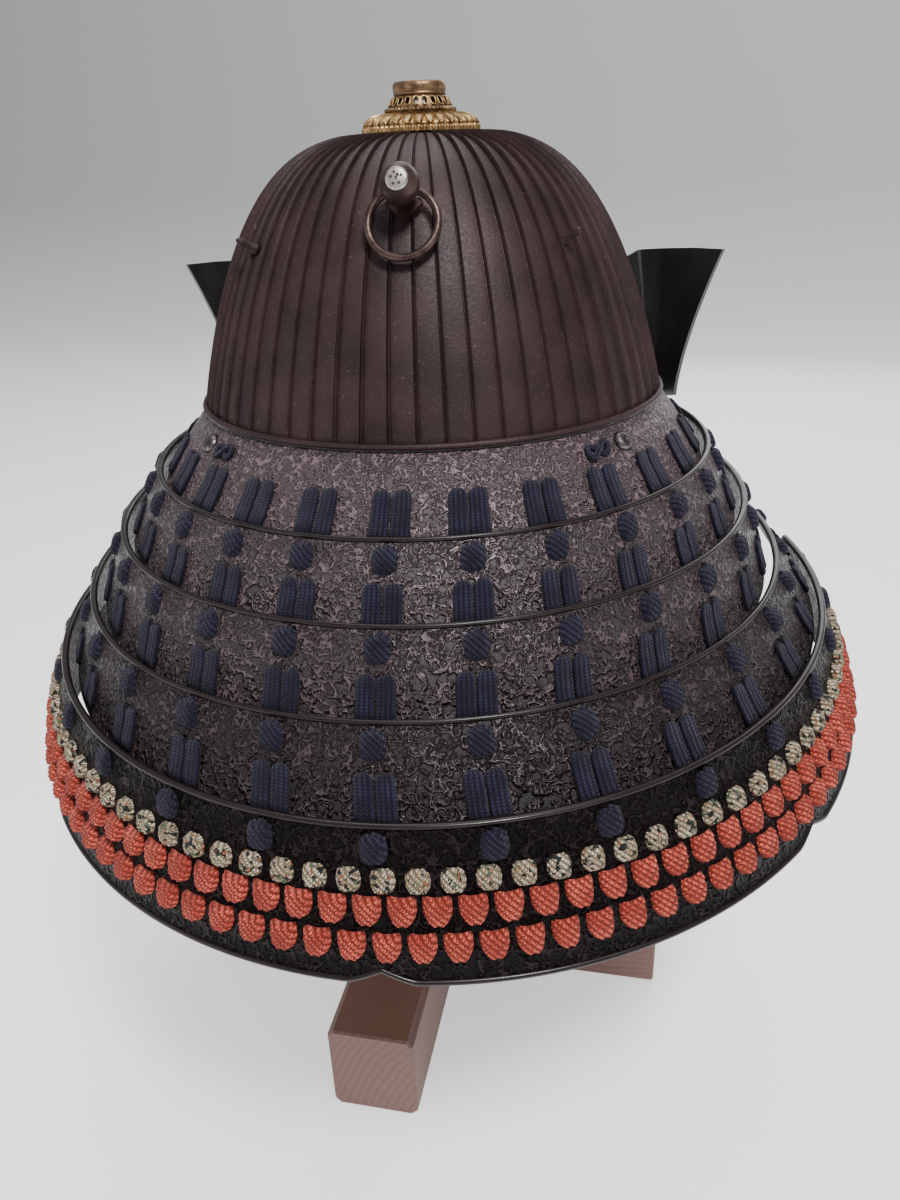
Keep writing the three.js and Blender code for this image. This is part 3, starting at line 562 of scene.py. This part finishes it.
topProfile = [(8.9, 13.4), (10.4, 13.3), (11.0, 13.8), (10.9, 14.4), (10.5, 14.8), (11.0, 15.4), (11.15, 16.6),
              (10.9, 17.8), (10.2, 18.5), (9.4, 18.5), (8.75, 18.0), (8.5, 16.4), (8.5, 14.6)]
topLoops = turnedLoops(topProfile, 96) + np.array([0, bowl["crownY"], crownTop])
dress(tubePiece("crown_top_ring", topLoops, True, sharpAbove=60), wornGilt, "helmet")

# raised rims round the slots: a stadium outline, wrapped on the collar's cone
slotRim = {"count": 22, "half": 1.15, "low": 9.7, "high": 12.75, "wire": 0.33, "lift": 0.12, "around": 18, "sides": 6}
cone = {"radius": 13.15, "at": 9.8, "slope": 0.62}
t = fullTurn(slotRim["around"])
outlineX = slotRim["half"] * np.sign(np.cos(t)) * np.abs(np.cos(t)) ** 0.6
outlineZ = (slotRim["low"] + slotRim["high"]) / 2 + (slotRim["high"] - slotRim["low"]) / 2 * np.sin(t)
coneR = cone["radius"] - (outlineZ - cone["at"]) * cone["slope"]
centreAngle = np.arange(slotRim["count"]) * 2 * np.pi / slotRim["count"]
wrap = centreAngle[:, None] + outlineX / coneR
ringTurn = fullTurn(slotRim["sides"])
sideways = np.cos(ringTurn)[None] * slotRim["wire"]
outwards = np.sin(ringTurn)[None] * slotRim["wire"]
rimAngle = wrap[:, :, None] + (np.cos(t)[:, None] * sideways)[None] / coneR[None, :, None]
rimZ = (outlineZ[:, None] + np.sin(t)[:, None] * sideways)[None] + 0 * rimAngle
rimR = (coneR[:, None] + outwards + slotRim["lift"])[None] + 0 * rimAngle
rimPoints = np.stack([rimR * np.sin(rimAngle), bowl["crownY"] + rimR * np.cos(rimAngle), crownTop + rimZ], -1)
oneRim = gridQuads(slotRim["around"], slotRim["sides"], True, True)
rimQuads = repeatedQuads(oneRim, slotRim["count"], slotRim["around"] * slotRim["sides"])
dress(linkMesh("crown_slot_rims", rimPoints.reshape(-1, 3), rimQuads), giltMetal, "helmet")
dress(nodes["crown_collar"], wornGilt)
print("crown ornament made")

# the ring and its post
post = {"angle": -2.4, "rise": 0.795, "tilt": 16, "eyeAt": 6, "ball": 7.05, "ballAt": 14.4, "discTop": 21.6,
        "discHole": 0.62, "discSag": 0.03}
ring = {"radius": 12.7, "wire": 1.45, "hang": 28.5, "slack": 0.8}
postBase = domePoints(np.array([post["angle"]]), shareAt(np.array([post["rise"]])))[0]
tilt, hang = np.radians(post["tilt"]), np.radians(ring["hang"])
postAxis = np.array([0, np.cos(tilt), np.sin(tilt)])
hangWay = np.array([0, np.sin(hang), -np.cos(hang)])
pivot = postBase + post["eyeAt"] * postAxis

u = fullTurn(96)[:, None]
v = fullTurn(16)[None]
ringSide = np.cross([1, 0, 0], hangWay)
reach = ring["radius"] + ring["wire"] * np.cos(v)
ringLoops = (pivot + hangWay * (ring["radius"] - ring["slack"])
             + (reach * np.cos(u))[..., None] * np.array([1.0, 0, 0]) + (reach * np.sin(u))[..., None] * hangWay
             + (ring["wire"] * np.sin(v) + 0 * u)[..., None] * ringSide)
dress(tubePiece("badge_ring_smooth", ringLoops, True), bronzeMetal, "ring", ("badge_ring",))

polar = np.radians(np.linspace(64, 147, 16))
ballProfile = np.stack([post["ball"] * np.sin(polar), post["ballAt"] - post["ball"] * np.cos(polar)], 1)
ballProfile = np.concatenate([[(2.0, ballProfile[0, 1] + 0.3)], ballProfile, [(2.0, ballProfile[-1, 1] - 0.6)]])
ballLoops = stood(turnedLoops(ballProfile, 64), postBase, postAxis)
dress(tubePiece("ring_post_ball", ballLoops, True, sharpAbove=50), bronzeMetal, "helmet")
discProfile = [(0.01, 20.3), (3.9, 20.3), (4.05, 20.7), (3.8, 21.2), (3.0, 21.45), (0.01, post["discTop"])]
discLoops = stood(turnedLoops(discProfile, 48), postBase, postAxis)
disc = tubePiece("ring_post_disc_smooth", discLoops, True, sharpAbove=50)
weld(disc)
dress(disc, silverMetal, "helmet", ("ring_post_disc",))
# painted shade: the disc has no openings; a small dark cap sits in it at each hole
holeSpots = np.array([(0, 0.2), (1.9, 0.5), (-1.7, 0.9), (0.7, 2.0), (-0.9, -1.5), (1.1, -1.7), (-0.5, 1.1)])
capTurn = fullTurn(8)
capRings = [(k * post["discHole"], z) for k, z in ((0.02, 0.12), (0.8, 0.1), (1.0, -0.3), (0.02, -0.3))]
capTemplate = np.concatenate([np.stack([r * np.sin(capTurn), r * np.cos(capTurn), 0 * capTurn + z], 1)
                              for r, z in capRings])
capQuads = gridQuads(4, 8, True, True)
upWay = unit(np.cross(postAxis, [1.0, 0, 0]))
spotPlace = postBase + postAxis * post["discTop"] + holeSpots[:, :1] * np.array([1.0, 0, 0]) \
    - holeSpots[:, 1:] * upWay - postAxis * post["discSag"] * (holeSpots ** 2).sum(1, keepdims=True)
many = np.ones((len(holeSpots), 1))
spots = manyPieces("ring_post_disc_holes", capTemplate, capQuads, spotPlace, many * np.array([1.0, 0, 0]),
                   many * upWay, many * postAxis)
dress(spots, holeShade, "helmet")
dress(nodes["ring_post"], bronzeMetal)

pegs = {"peg_back_left": 48, "peg_back_right": -48, "peg_front_left": 132, "peg_front_right": 228}
pegRise, pegLift = 0.62, 0.3
pegProfile = [(0.01, 0), (2.3, 0), (2.1, 1.2), (1.5, 2.2), (1.5, 6.5), (1.2, 8.3), (0.6, 9.1), (0.01, 9.3)]
for name, angle in pegs.items():
    share = shareAt(np.array([pegRise]))
    normal = domeNormals(np.array([float(angle)]), share)[0]
    start = domePoints(np.array([float(angle)]), share)[0] + normal * pegLift
    peg = tubePiece(name + "_round", stood(turnedLoops(pegProfile, 20), start, normal), True)
    weld(peg)
    dress(peg, ironColor, "helmet", (name,))
print("ring, post and pegs made")

# the neck guard
tuck, overlap, lameWall = 7.2, 8, 2
bandDrop, bandInset = 2.3, 0.8  # where lame 1 starts under the bowl's edge
endSteps = 8.45  # half of a lame, in lacing steps
bulges = {1: 0.6, 2: 0.6, 3: 0.6, 4: 0.6, 5: 1.6}
notch = {"deep": 4.2, "half": 3.4}
rimRoll = {"in": 0.35, "up": 0.2, "radius": 1.5, "squash": 0.72}
hemRoll = {"in": 0.8, "up": 0.6, "radius": 1.7, "squash": 0.75}
levels = np.array([  # half width, back reach, centre y, drop, sway, lacing step in degrees
    (104.8, 111.3, 3.5, 0, 0, 13.8),
    (126.5, 143, 4, 24, 0, 13.3),
    (143.5, 166, 8, 46, 0, 12.8),
    (158, 188, 13, 69.5, -0.2, 12.1),
    (177.5, 213, 4, 91, -3.4, 11.9),
    (193, 226, 10, 143, -5.44, 11.9),
])
columns = np.arange(17) - 8
cuspAngles = np.array([-104, -52, 0, 52, 104.0])


def levelPath(level, angle, outward=0.0):
    # an ellipse at one level of the neck guard, pushed outwards in plan
    halfWidth, backReach, centreY, drop, sway, _ = levels[level]
    halfLength = backReach - centreY
    radian = np.radians(angle)
    normal = unit(np.stack([np.sin(radian) / halfWidth, np.cos(radian) / halfLength, 0 * radian], -1))
    place = np.stack([halfWidth * np.sin(radian), halfLength * np.cos(radian), 0 * radian], -1)
    return place + normal * outward + np.array([sway, centreY, edgeHeight - drop])


def lameFrames(lame, angle):
    # where a lame's outer face starts at each angle, and the ways down it, round it and out of it
    top = levelPath(lame - 1, angle, -bandInset if lame == 1 else 0.0)
    if lame == 1:
        top[..., 2] -= bandDrop
    bottom = levelPath(lame, angle, 0.0 if lame == 5 else -tuck)
    down = bottom - top
    length = np.linalg.norm(down, axis=-1)
    down = down / length[..., None]
    around = unit(levelPath(lame - 1, angle + 1) - levelPath(lame - 1, angle - 1))
    out = unit(np.cross(around, down))
    return top, down, around, out, length


def lamePoints(lame, angle, along, lift):
    # the start of the face at an angle, plus along times the way down and lift times the way out
    top, down, _, out, _ = lameFrames(lame, angle)
    return top + down * along[..., None] + out * lift[..., None]


def endAngle(lame):
    # a lame ends a little beyond its outermost lacing column
    return levels[lame - 1][5] * endSteps


def hemNotch(angle):
    # small pointed notches in the hem: deepest at each cusp, and gone half a notch away
    nearest = np.abs(angle[..., None] - cuspAngles).min(-1)
    return notch["deep"] * np.clip(1 - nearest / notch["half"], 0, 1) ** 1.3


def lameFace(lame, share):
    # bulge of the outer face: half a sine wave from its rim to its lower edge
    return bulges[lame] * np.sin(np.pi * np.clip(share, 0, 1))


for lame in range(1, 6):
    ends = endAngle(lame)
    angles = np.linspace(-ends, ends, 281)
    length = lameFrames(lame, angles)[4]
    reachDown = length - hemNotch(angles) if lame == 5 else length + overlap
    share = np.linspace(0, 1, 22)
    along = reachDown[:, None] * share
    grid = np.broadcast_to(angles[:, None], along.shape)
    lift = lameFace(lame, along / length[:, None])
    outer = lamePoints(lame, grid, along, lift)
    inner = lamePoints(lame, grid, along, lift - lameWall)
    plate = wallPiece(f"lame_{lame}_plate", outer, inner, sharpAbove=50)
    dress(plate, lameFinish[lame], "helmet", (f"lame_{lame}",))
    if lame > 1:
        top, down, _, out, _ = lameFrames(lame, angles)
        middle = top - out * rimRoll["in"] - down * rimRoll["up"]
        roll = rollAlong(f"lame_{lame}_roll", middle, out, rimRoll["radius"], rimRoll["squash"], 12, False, -down)
        dress(roll, rollLacquer, "helmet")
hemAngles = np.linspace(-endAngle(5), endAngle(5), 481)
hemTop, hemDown, _, hemOut, hemLength = lameFrames(5, hemAngles)
hemAlong = hemLength - hemNotch(hemAngles) - hemRoll["up"]
hemMiddle = hemTop + hemDown * hemAlong[:, None] - hemOut * hemRoll["in"]
hem = rollAlong("hem_roll", hemMiddle, hemOut, hemRoll["radius"], hemRoll["squash"], 10, False, -hemDown)
dress(hem, rollLacquer, "helmet")
print("lames made")


# lacing on the lames
lace = {"braid": 6.6, "thick": 2.2, "apart": 3.4, "sides": 10, "seat": 0.9, "swell": 0.5, "tip": 3.2,
        "start": 0.56, "firstStart": 0.5, "leastStart": 14.8, "past": 3.5}


def arcOf(lame, angle):
    # millimetres of lame for one degree: the distance over two degrees, halved
    return np.linalg.norm(levelPath(lame - 1, angle + 1) - levelPath(lame - 1, angle - 1), axis=-1) / 2


def braidLoops(lame, centre, offset, start, end):
    # a flat cushion section carried down the lame; the upper end is drawn in to a rounded top
    along = start + np.concatenate([[0, 0.15, 0.5, 1.1, 2.0, lace["tip"]], np.linspace(4.6, end - start, 5)])
    t = (along - start) / (end - start)
    draw = np.sqrt(np.clip(1 - (1 - np.clip((along - start) / lace["tip"], 0, 1)) ** 2, 0, 1)) * 0.92 + 0.08
    turn = fullTurn(lace["sides"])
    sideways = lace["braid"] / 2 * np.sign(np.cos(turn)) * np.abs(np.cos(turn)) ** 0.6
    rise = lace["thick"] / 2 * np.sign(np.sin(turn)) * np.abs(np.sin(turn)) ** 0.75
    x = offset + draw[:, None] * sideways
    lift = lace["seat"] + draw[:, None] * rise + lace["swell"] * np.exp(-((t[:, None] - 0.12) / 0.15) ** 2)
    angle = centre + x / arcOf(lame, np.array(centre))
    points = lamePoints(lame, angle, along[:, None] + 0 * x, lift)
    uv = np.stack([sideways + lace["braid"] / 2 + 0 * x, along[:, None] + 0 * x], -1)
    return points, uv


def laceAngle(level):
    # each column's angle at a level: its number from the middle times the level's step
    return levels[level][5] * columns


for lame in range(1, 5):
    loops, maps = [], []
    for centre in laceAngle(lame - 1):
        length = lameFrames(lame, np.array(centre))[4]
        start = max(lace["start"] * length, lace["leastStart"]) if lame > 1 else lace["firstStart"] * length
        for offset in (-lace["apart"], lace["apart"]):
            points, uv = braidLoops(lame, centre, offset, start, length + lace["past"])
            loops.append(drawnIn(points))
            maps.append(np.concatenate([uv[:1], uv, uv[-1:]]))
    loops, maps = np.array(loops), np.array(maps)
    count, sections, sides = loops.shape[:3]
    quads = repeatedQuads(gridQuads(sections, sides, False, True), count, sections * sides)
    braids = linkMesh(f"braids_lame_{lame}", loops.reshape(-1, 3), quads, maps.reshape(-1, 2))
    weld(braids)
    named = tuple(f"lacing_{k + 1:02d}" for k in range(len(columns))) if lame == 1 else ()
    dress(braids, navyBraid, "helmet", named)


# outlines of a knot: places from its top to its bottom, and the share of its width at each
shieldOutline = ([0, 0.06, 0.2, 0.5, 0.72, 0.88, 1], [0.88, 0.98, 1, 0.98, 0.86, 0.62, 0.3])
roundOutline = ([0, 0.06, 0.2, 0.5, 0.8, 0.94, 1], [0.45, 0.7, 0.92, 1, 0.92, 0.68, 0.4])


def knotTemplate(halfWidth, height, rise, topDip, outlineOf, cells=8):
    # a domed patch: its width follows an outline from top to bottom, and the top edge dips in the middle;
    # the map is turned by an eighth of a turn, so the stitches run slantwise, and shifted to stay positive
    u = np.linspace(-1, 1, cells + 1)[:, None]
    v = np.linspace(0, 1, cells + 1)[None]
    x = halfWidth * np.interp(v, *outlineOf) * u
    y = height * v + topDip * (1 - np.abs(u) ** 1.6) * (1 - v) + 0 * u
    dome = (1 - np.abs(u) ** 3.6) ** 0.55 * np.clip(1 - np.abs(2 * v - 1) ** 4.5, 0, 1) ** 0.5
    lumps = 1 + 0.12 * np.sin(2.6 * (x + y))
    top = np.stack([x, y, rise * dome * lumps], -1)
    base = np.stack([x, y, 0 * x - 0.5], -1)
    uv = np.stack([(x + y) * 0.7 + 20, (y - x) * 0.7 + 20], -1)
    points = np.concatenate([top.reshape(-1, 3), base.reshape(-1, 3)])
    return points, wallQuads(cells + 1, cells + 1), np.concatenate([uv.reshape(-1, 2)] * 2)


def strandTemplate(fromX, toX, height, width, rise, lift):
    # one strand of a cross: a flat cushion section led from one upper corner to the other lower corner
    steps, sides = 8, 8
    t = np.linspace(0, 1, steps)[:, None]
    turn = fullTurn(sides)[None]
    way = unit(np.array([toX - fromX, height, 0.0]))
    side = np.array([way[1], -way[0], 0])
    fat = np.sin(np.pi * np.clip(t * 0.86 + 0.07, 0, 1)) ** 0.45
    middle = np.array([fromX, 0, 0]) + t * np.array([toX - fromX, height, 0.0])
    arch = lift * np.sin(np.pi * t) ** 0.8
    w = width / 2 * np.sign(np.cos(turn)) * np.abs(np.cos(turn)) ** 0.7 * (0.7 + 0.3 * fat)
    h = rise * np.sin(turn) * fat
    points = middle[:, None] + w[..., None] * side + np.stack([0 * h, 0 * h, h + arch], -1)
    uv = np.stack([w + width / 2, t * np.hypot(toX - fromX, height) + 0 * w], -1)
    uv = np.concatenate([uv[:1], uv, uv[-1:]])
    return drawnIn(points).reshape(-1, 3), gridQuads(steps + 2, sides, False, True), uv.reshape(-1, 2)


crossSeat = {"down": 2.2, "out": 0.7}
crossAt = []
for lame in range(2, 6):
    angle = (laceAngle(lame - 2) + laceAngle(lame - 1)) / 2
    top, down, around, out, _ = lameFrames(lame, angle)
    crossAt.append((top + down * crossSeat["down"] + out * crossSeat["out"], around, down, out))
crossFrames = [np.concatenate(part) for part in zip(*crossAt)]
under = strandTemplate(-2.2, 2.2, 9.8, 5.6, 1.0, 0.3)
over = knotTemplate(4.7, 10.2, 2.6, 0.5, roundOutline)
for name, (template, quads, uv) in (("cross_under", under), ("cross_over", over)):
    crosses = manyPieces(name, template, quads, *crossFrames, uv)
    weld(crosses)
    dress(crosses, navyKnot, "helmet")
print("lacing made")

# stitched rows on the lowest lame
rows = {
    "cream_stitches": {"share": 0.32, "first": -0.8},
    "orange_stitches_upper": {"share": 0.505, "first": -2.5},
    "orange_stitches_lower": {"share": 0.74, "first": -4.2},
}
rowStep = {"pitch": 3.4, "opening": 0.0028, "endGap": 1.8, "lift": 0.15}


def stitchAngles(first):
    # even steps from the back, opening slowly towards the sides, kept clear of the lame's ends
    steps = np.arange(-32, 33)
    angle = first + rowStep["pitch"] * steps * (1 + rowStep["opening"] * np.abs(steps))
    return angle[np.abs(angle) < endAngle(5) - rowStep["endGap"]]


for name, row in rows.items():
    angle = stitchAngles(row["first"])
    top, down, around, out, length = lameFrames(5, angle)
    lift = lameFace(5, row["share"] + 0 * angle) + rowStep["lift"]
    cream = name.startswith("cream")
    size = (4.1, 8.3, 2.9, 0.2, roundOutline) if cream else (4.75, 10.3, 3.3, 0.75, shieldOutline)
    place = top + down * (row["share"] * length - size[1] / 2)[:, None] + out * lift[:, None]
    template, quads, uv = knotTemplate(*size)
    stitches = manyPieces(name, template, quads, place, around, down, out, uv)
    dress(stitches, creamKnot if cream else orangeKnot, "helmet")
print("stitches made")

# studs and tie knots on the first lame
studs = {"angle": 50.5, "along": 0.28, "out": 0.1}
studProfile = [(0.01, 0), (4.4, 0), (4.3, 0.9), (3.6, 2.0), (2.2, 2.8), (0.01, 3.1)]
ties = {"angle": 42.4, "along": 0.3, "out": 1.6, "long": 5.2, "wide": 2.6, "skew": 0.6, "rise": 0.5,
        "cordWide": 1.25, "cordThick": 1.1}
for side, word in ((1, "left"), (-1, "right")):
    angle = np.array([side * studs["angle"]])
    top, down, _, out, length = (part[0] for part in lameFrames(1, angle))
    place = top + down * studs["along"] * length + out * studs["out"]
    stud = tubePiece(f"stud_{word}_round", stood(turnedLoops(studProfile, 32), place, out), True)
    weld(stud)
    dress(stud, studMetal, "helmet", (f"stud_{word}",))
    angle = np.array([side * ties["angle"]])
    top, down, around, out, length = (part[0] for part in lameFrames(1, angle))
    place = top + down * ties["along"] * length + out * ties["out"]
    # a cord in a figure of eight: one wave across for every two waves up and down
    t = fullTurn(40)
    s = fullTurn(8)
    path = place + np.outer(ties["long"] * np.sin(t), around) + np.outer(ties["rise"] * np.cos(t), out) \
        + np.outer(ties["wide"] * np.sin(2 * t) + ties["skew"] * np.sin(t), down)
    way = unit(np.roll(path, -1, 0) - np.roll(path, 1, 0))
    sideways = unit(np.cross(way, out))
    loops = path[:, None] + ties["cordWide"] * np.cos(s)[None, :, None] * sideways[:, None] \
        + ties["cordThick"] * np.sin(s)[None, :, None] * out
    uv = np.stack(np.broadcast_arrays(s[None] * 1.2, t[:, None] * 4), -1)
    dress(tubePiece(f"tie_cord_{word}", loops, True, uv), navyKnot, "helmet", (f"tie_knot_{word}",))
print("studs and ties made")

# wings and peak
stations = np.array([  # top x, y, z, then foot x, y, z, from the root to the outer edge
    (93.6, -47.6, -5, 108.2, -61, -24),
    (96, -60, 6, 109.5, -70, -25),
    (91, -76, 32, 107, -84, -27),
    (91, -89, 45, 105, -93, -28),
    (99, -95, 48.5, 108, -97, -29),
    (112, -92, 49, 113, -94, -29),
    (127, -82, 49.5, 118, -88, -28),
    (140, -67, 49.5, 122.5, -80, -26),
], float)
wingWall = 2.0
peak = {"halfSpan": 56, "start": 1.5, "sideReach": 7, "middleReach": 39, "sideDrop": 3, "middleDrop": 14, "swell": 3,
        "wall": 2.2, "countU": 61, "countV": 15}


def wallNormals(grid):
    # the cross product of the two grid directions at each point
    return unit(np.cross(np.gradient(grid, axis=0), np.gradient(grid, axis=1)))


for side, word in ((1, "left"), (-1, "right")):
    u = np.linspace(0, 1, 64)
    v = np.linspace(0, 1, 24)
    stops = np.linspace(0, 1, len(stations))
    rail = np.stack([np.interp(u, stops, stations[:, k]) for k in range(6)], 1)
    # a weighted mean of five neighbours takes the corners off the rails
    kernel = np.array([1, 2, 3, 2, 1]) / 9
    padded = np.pad(rail, ((2, 2), (0, 0)), mode="reflect", reflect_type="odd")
    rail = np.stack([np.convolve(padded[:, k], kernel, "valid") for k in range(6)], 1)
    outward = v[None] ** (1 + 0.5 * u[:, None])
    foot, top = rail[:, None, 3:], rail[:, None, :3]
    grid = foot + (top - foot) * outward[..., None]
    grid[..., 2] = edgeHeight + foot[..., 2] + (top - foot)[..., 2] * v
    grid[..., 0] *= side
    inner = grid - wallNormals(grid) * wingWall * side
    dress(wallPiece(f"wing_{word}_curved", grid, inner, sharpAbove=50), wingLacquer, "helmet",
          (f"wing_{word}",))

# the peak reaches out and down most at its middle, and least at its two ends
u = np.linspace(-1, 1, peak["countU"])[:, None]
v = np.linspace(0, 1, peak["countV"])[None]
full = np.clip(np.cos(u * np.pi / 2), 0, 1) ** 0.8
out = peak["start"] + v * (peak["sideReach"] + peak["middleReach"] * full)
downwards = v * (peak["sideDrop"] + peak["middleDrop"] * full) + peak["swell"] * v * (1 - v)
peakAngle = (180 + peak["halfSpan"] * u) + 0 * v
place, normal = edgePath(peakAngle.ravel(), 0.0, 0.0)
grid = place.reshape(*out.shape, 3) + normal.reshape(*out.shape, 3) * out[..., None]
grid[..., 2] = edgeHeight - bandDrop - downwards
inner = grid + wallNormals(grid) * np.sign(-wallNormals(grid)[..., 2:]) * peak["wall"]
dress(wallPiece("peak_curved", grid, inner, sharpAbove=50), wingLacquer, "helmet", ("peak",))
print("wings and peak made")

# the stand
for name, finish in (("foot_beam_long", woodLong), ("foot_beam_cross", woodCross), ("stand_column", woodUpright),
                     ("stand_head", woodUpright)):
    dress(nodes[name], finish)

# floor and light
# a level sheet that curves up behind the helmet: floor run, quarter turn, wall
studio = {"half": 6000.0, "bendAt": -2200, "bend": 2600, "top": 6000}
turnUp = np.linspace(0, np.pi / 2, 25)
runY = np.concatenate([[5000, 1500, 0, -1500], studio["bendAt"] - studio["bend"] * np.sin(turnUp),
                       [studio["bendAt"] - studio["bend"]]])
runZ = np.concatenate([[0, 0, 0, 0], studio["bend"] - studio["bend"] * np.cos(turnUp), [studio["top"]]])
sheetX = np.array([-studio["half"], studio["half"]])
sheet = np.stack(np.broadcast_arrays(sheetX[:, None], runY[None], runZ[None]), -1)
floorMesh = bpy.data.meshes.new("floor")
floorMesh.from_pydata((sheet.reshape(-1, 3) * millimetre).tolist(), [], gridQuads(2, len(runY)).tolist())
floorMesh.polygons.foreach_set("use_smooth", np.ones(len(runY) - 1, bool))
floor = bpy.data.objects.new("floor", floorMesh)
bpy.context.scene.collection.objects.link(floor)
paper, tree, shader = startMaterial("floor_paper")
spot = add(tree, "ShaderNodeSeparateXYZ", inputs={0: add(tree, "ShaderNodeTexCoord").outputs["Object"]})
# painted shade: the sheet greys from near white at x = -1.8 m to mid grey at x = 3 m; painted light: it glows, not at
# all from y = -3.5 m back, most from y = 0.2 m forward
sideways = ranged(tree, spot.outputs[0], -1.8, 3.0)
paintedShadeTone = blendColors(tree, sideways, (0.97, 0.97, 0.97), (0.56, 0.56, 0.56))
paintedGlow = ranged(tree, spot.outputs[1], -3.5, 0.2, 0.0, 0.78)
feed(tree, shader, {"Base Color": paintedShadeTone, "Roughness": 0.9, "Emission Color": (1, 1, 1, 1), "Emission Strength": paintedGlow})
floorMesh.materials.append(paper)

lights = [  # name, place, target, size, watts
    ("key", (-0.42, 0.88, 1.55), (0, 0.05, 0.3), 0.3, 29),
    ("fill", (1.3, 0.9, 0.8), (0, 0.05, 0.28), 1.2, 5),
    ("over", (0.1, -0.5, 1.8), (0, 0, 0.35), 1.0, 12),
    ("front", (-0.3, -1.5, 0.9), (0, 0, 0.3), 1.2, 9),
]
for name, place, target, size, watts in lights:
    lamp = bpy.data.lights.new(name, "AREA")
    lamp.size = size
    lamp.energy = watts
    holder = bpy.data.objects.new(name, lamp)
    bpy.context.scene.collection.objects.link(holder)
    holder.location = place
    holder.rotation_euler = (Vector(target) - Vector(place)).to_track_quat("-Z", "Y").to_euler()
world = bpy.data.worlds.new("studio")
world.use_nodes = True
world.node_tree.nodes["Background"].inputs[0].default_value = (0.78, 0.79, 0.8, 1)
world.node_tree.nodes["Background"].inputs[1].default_value = 0.72
bpy.context.scene.world = world
print("stage and lights made")
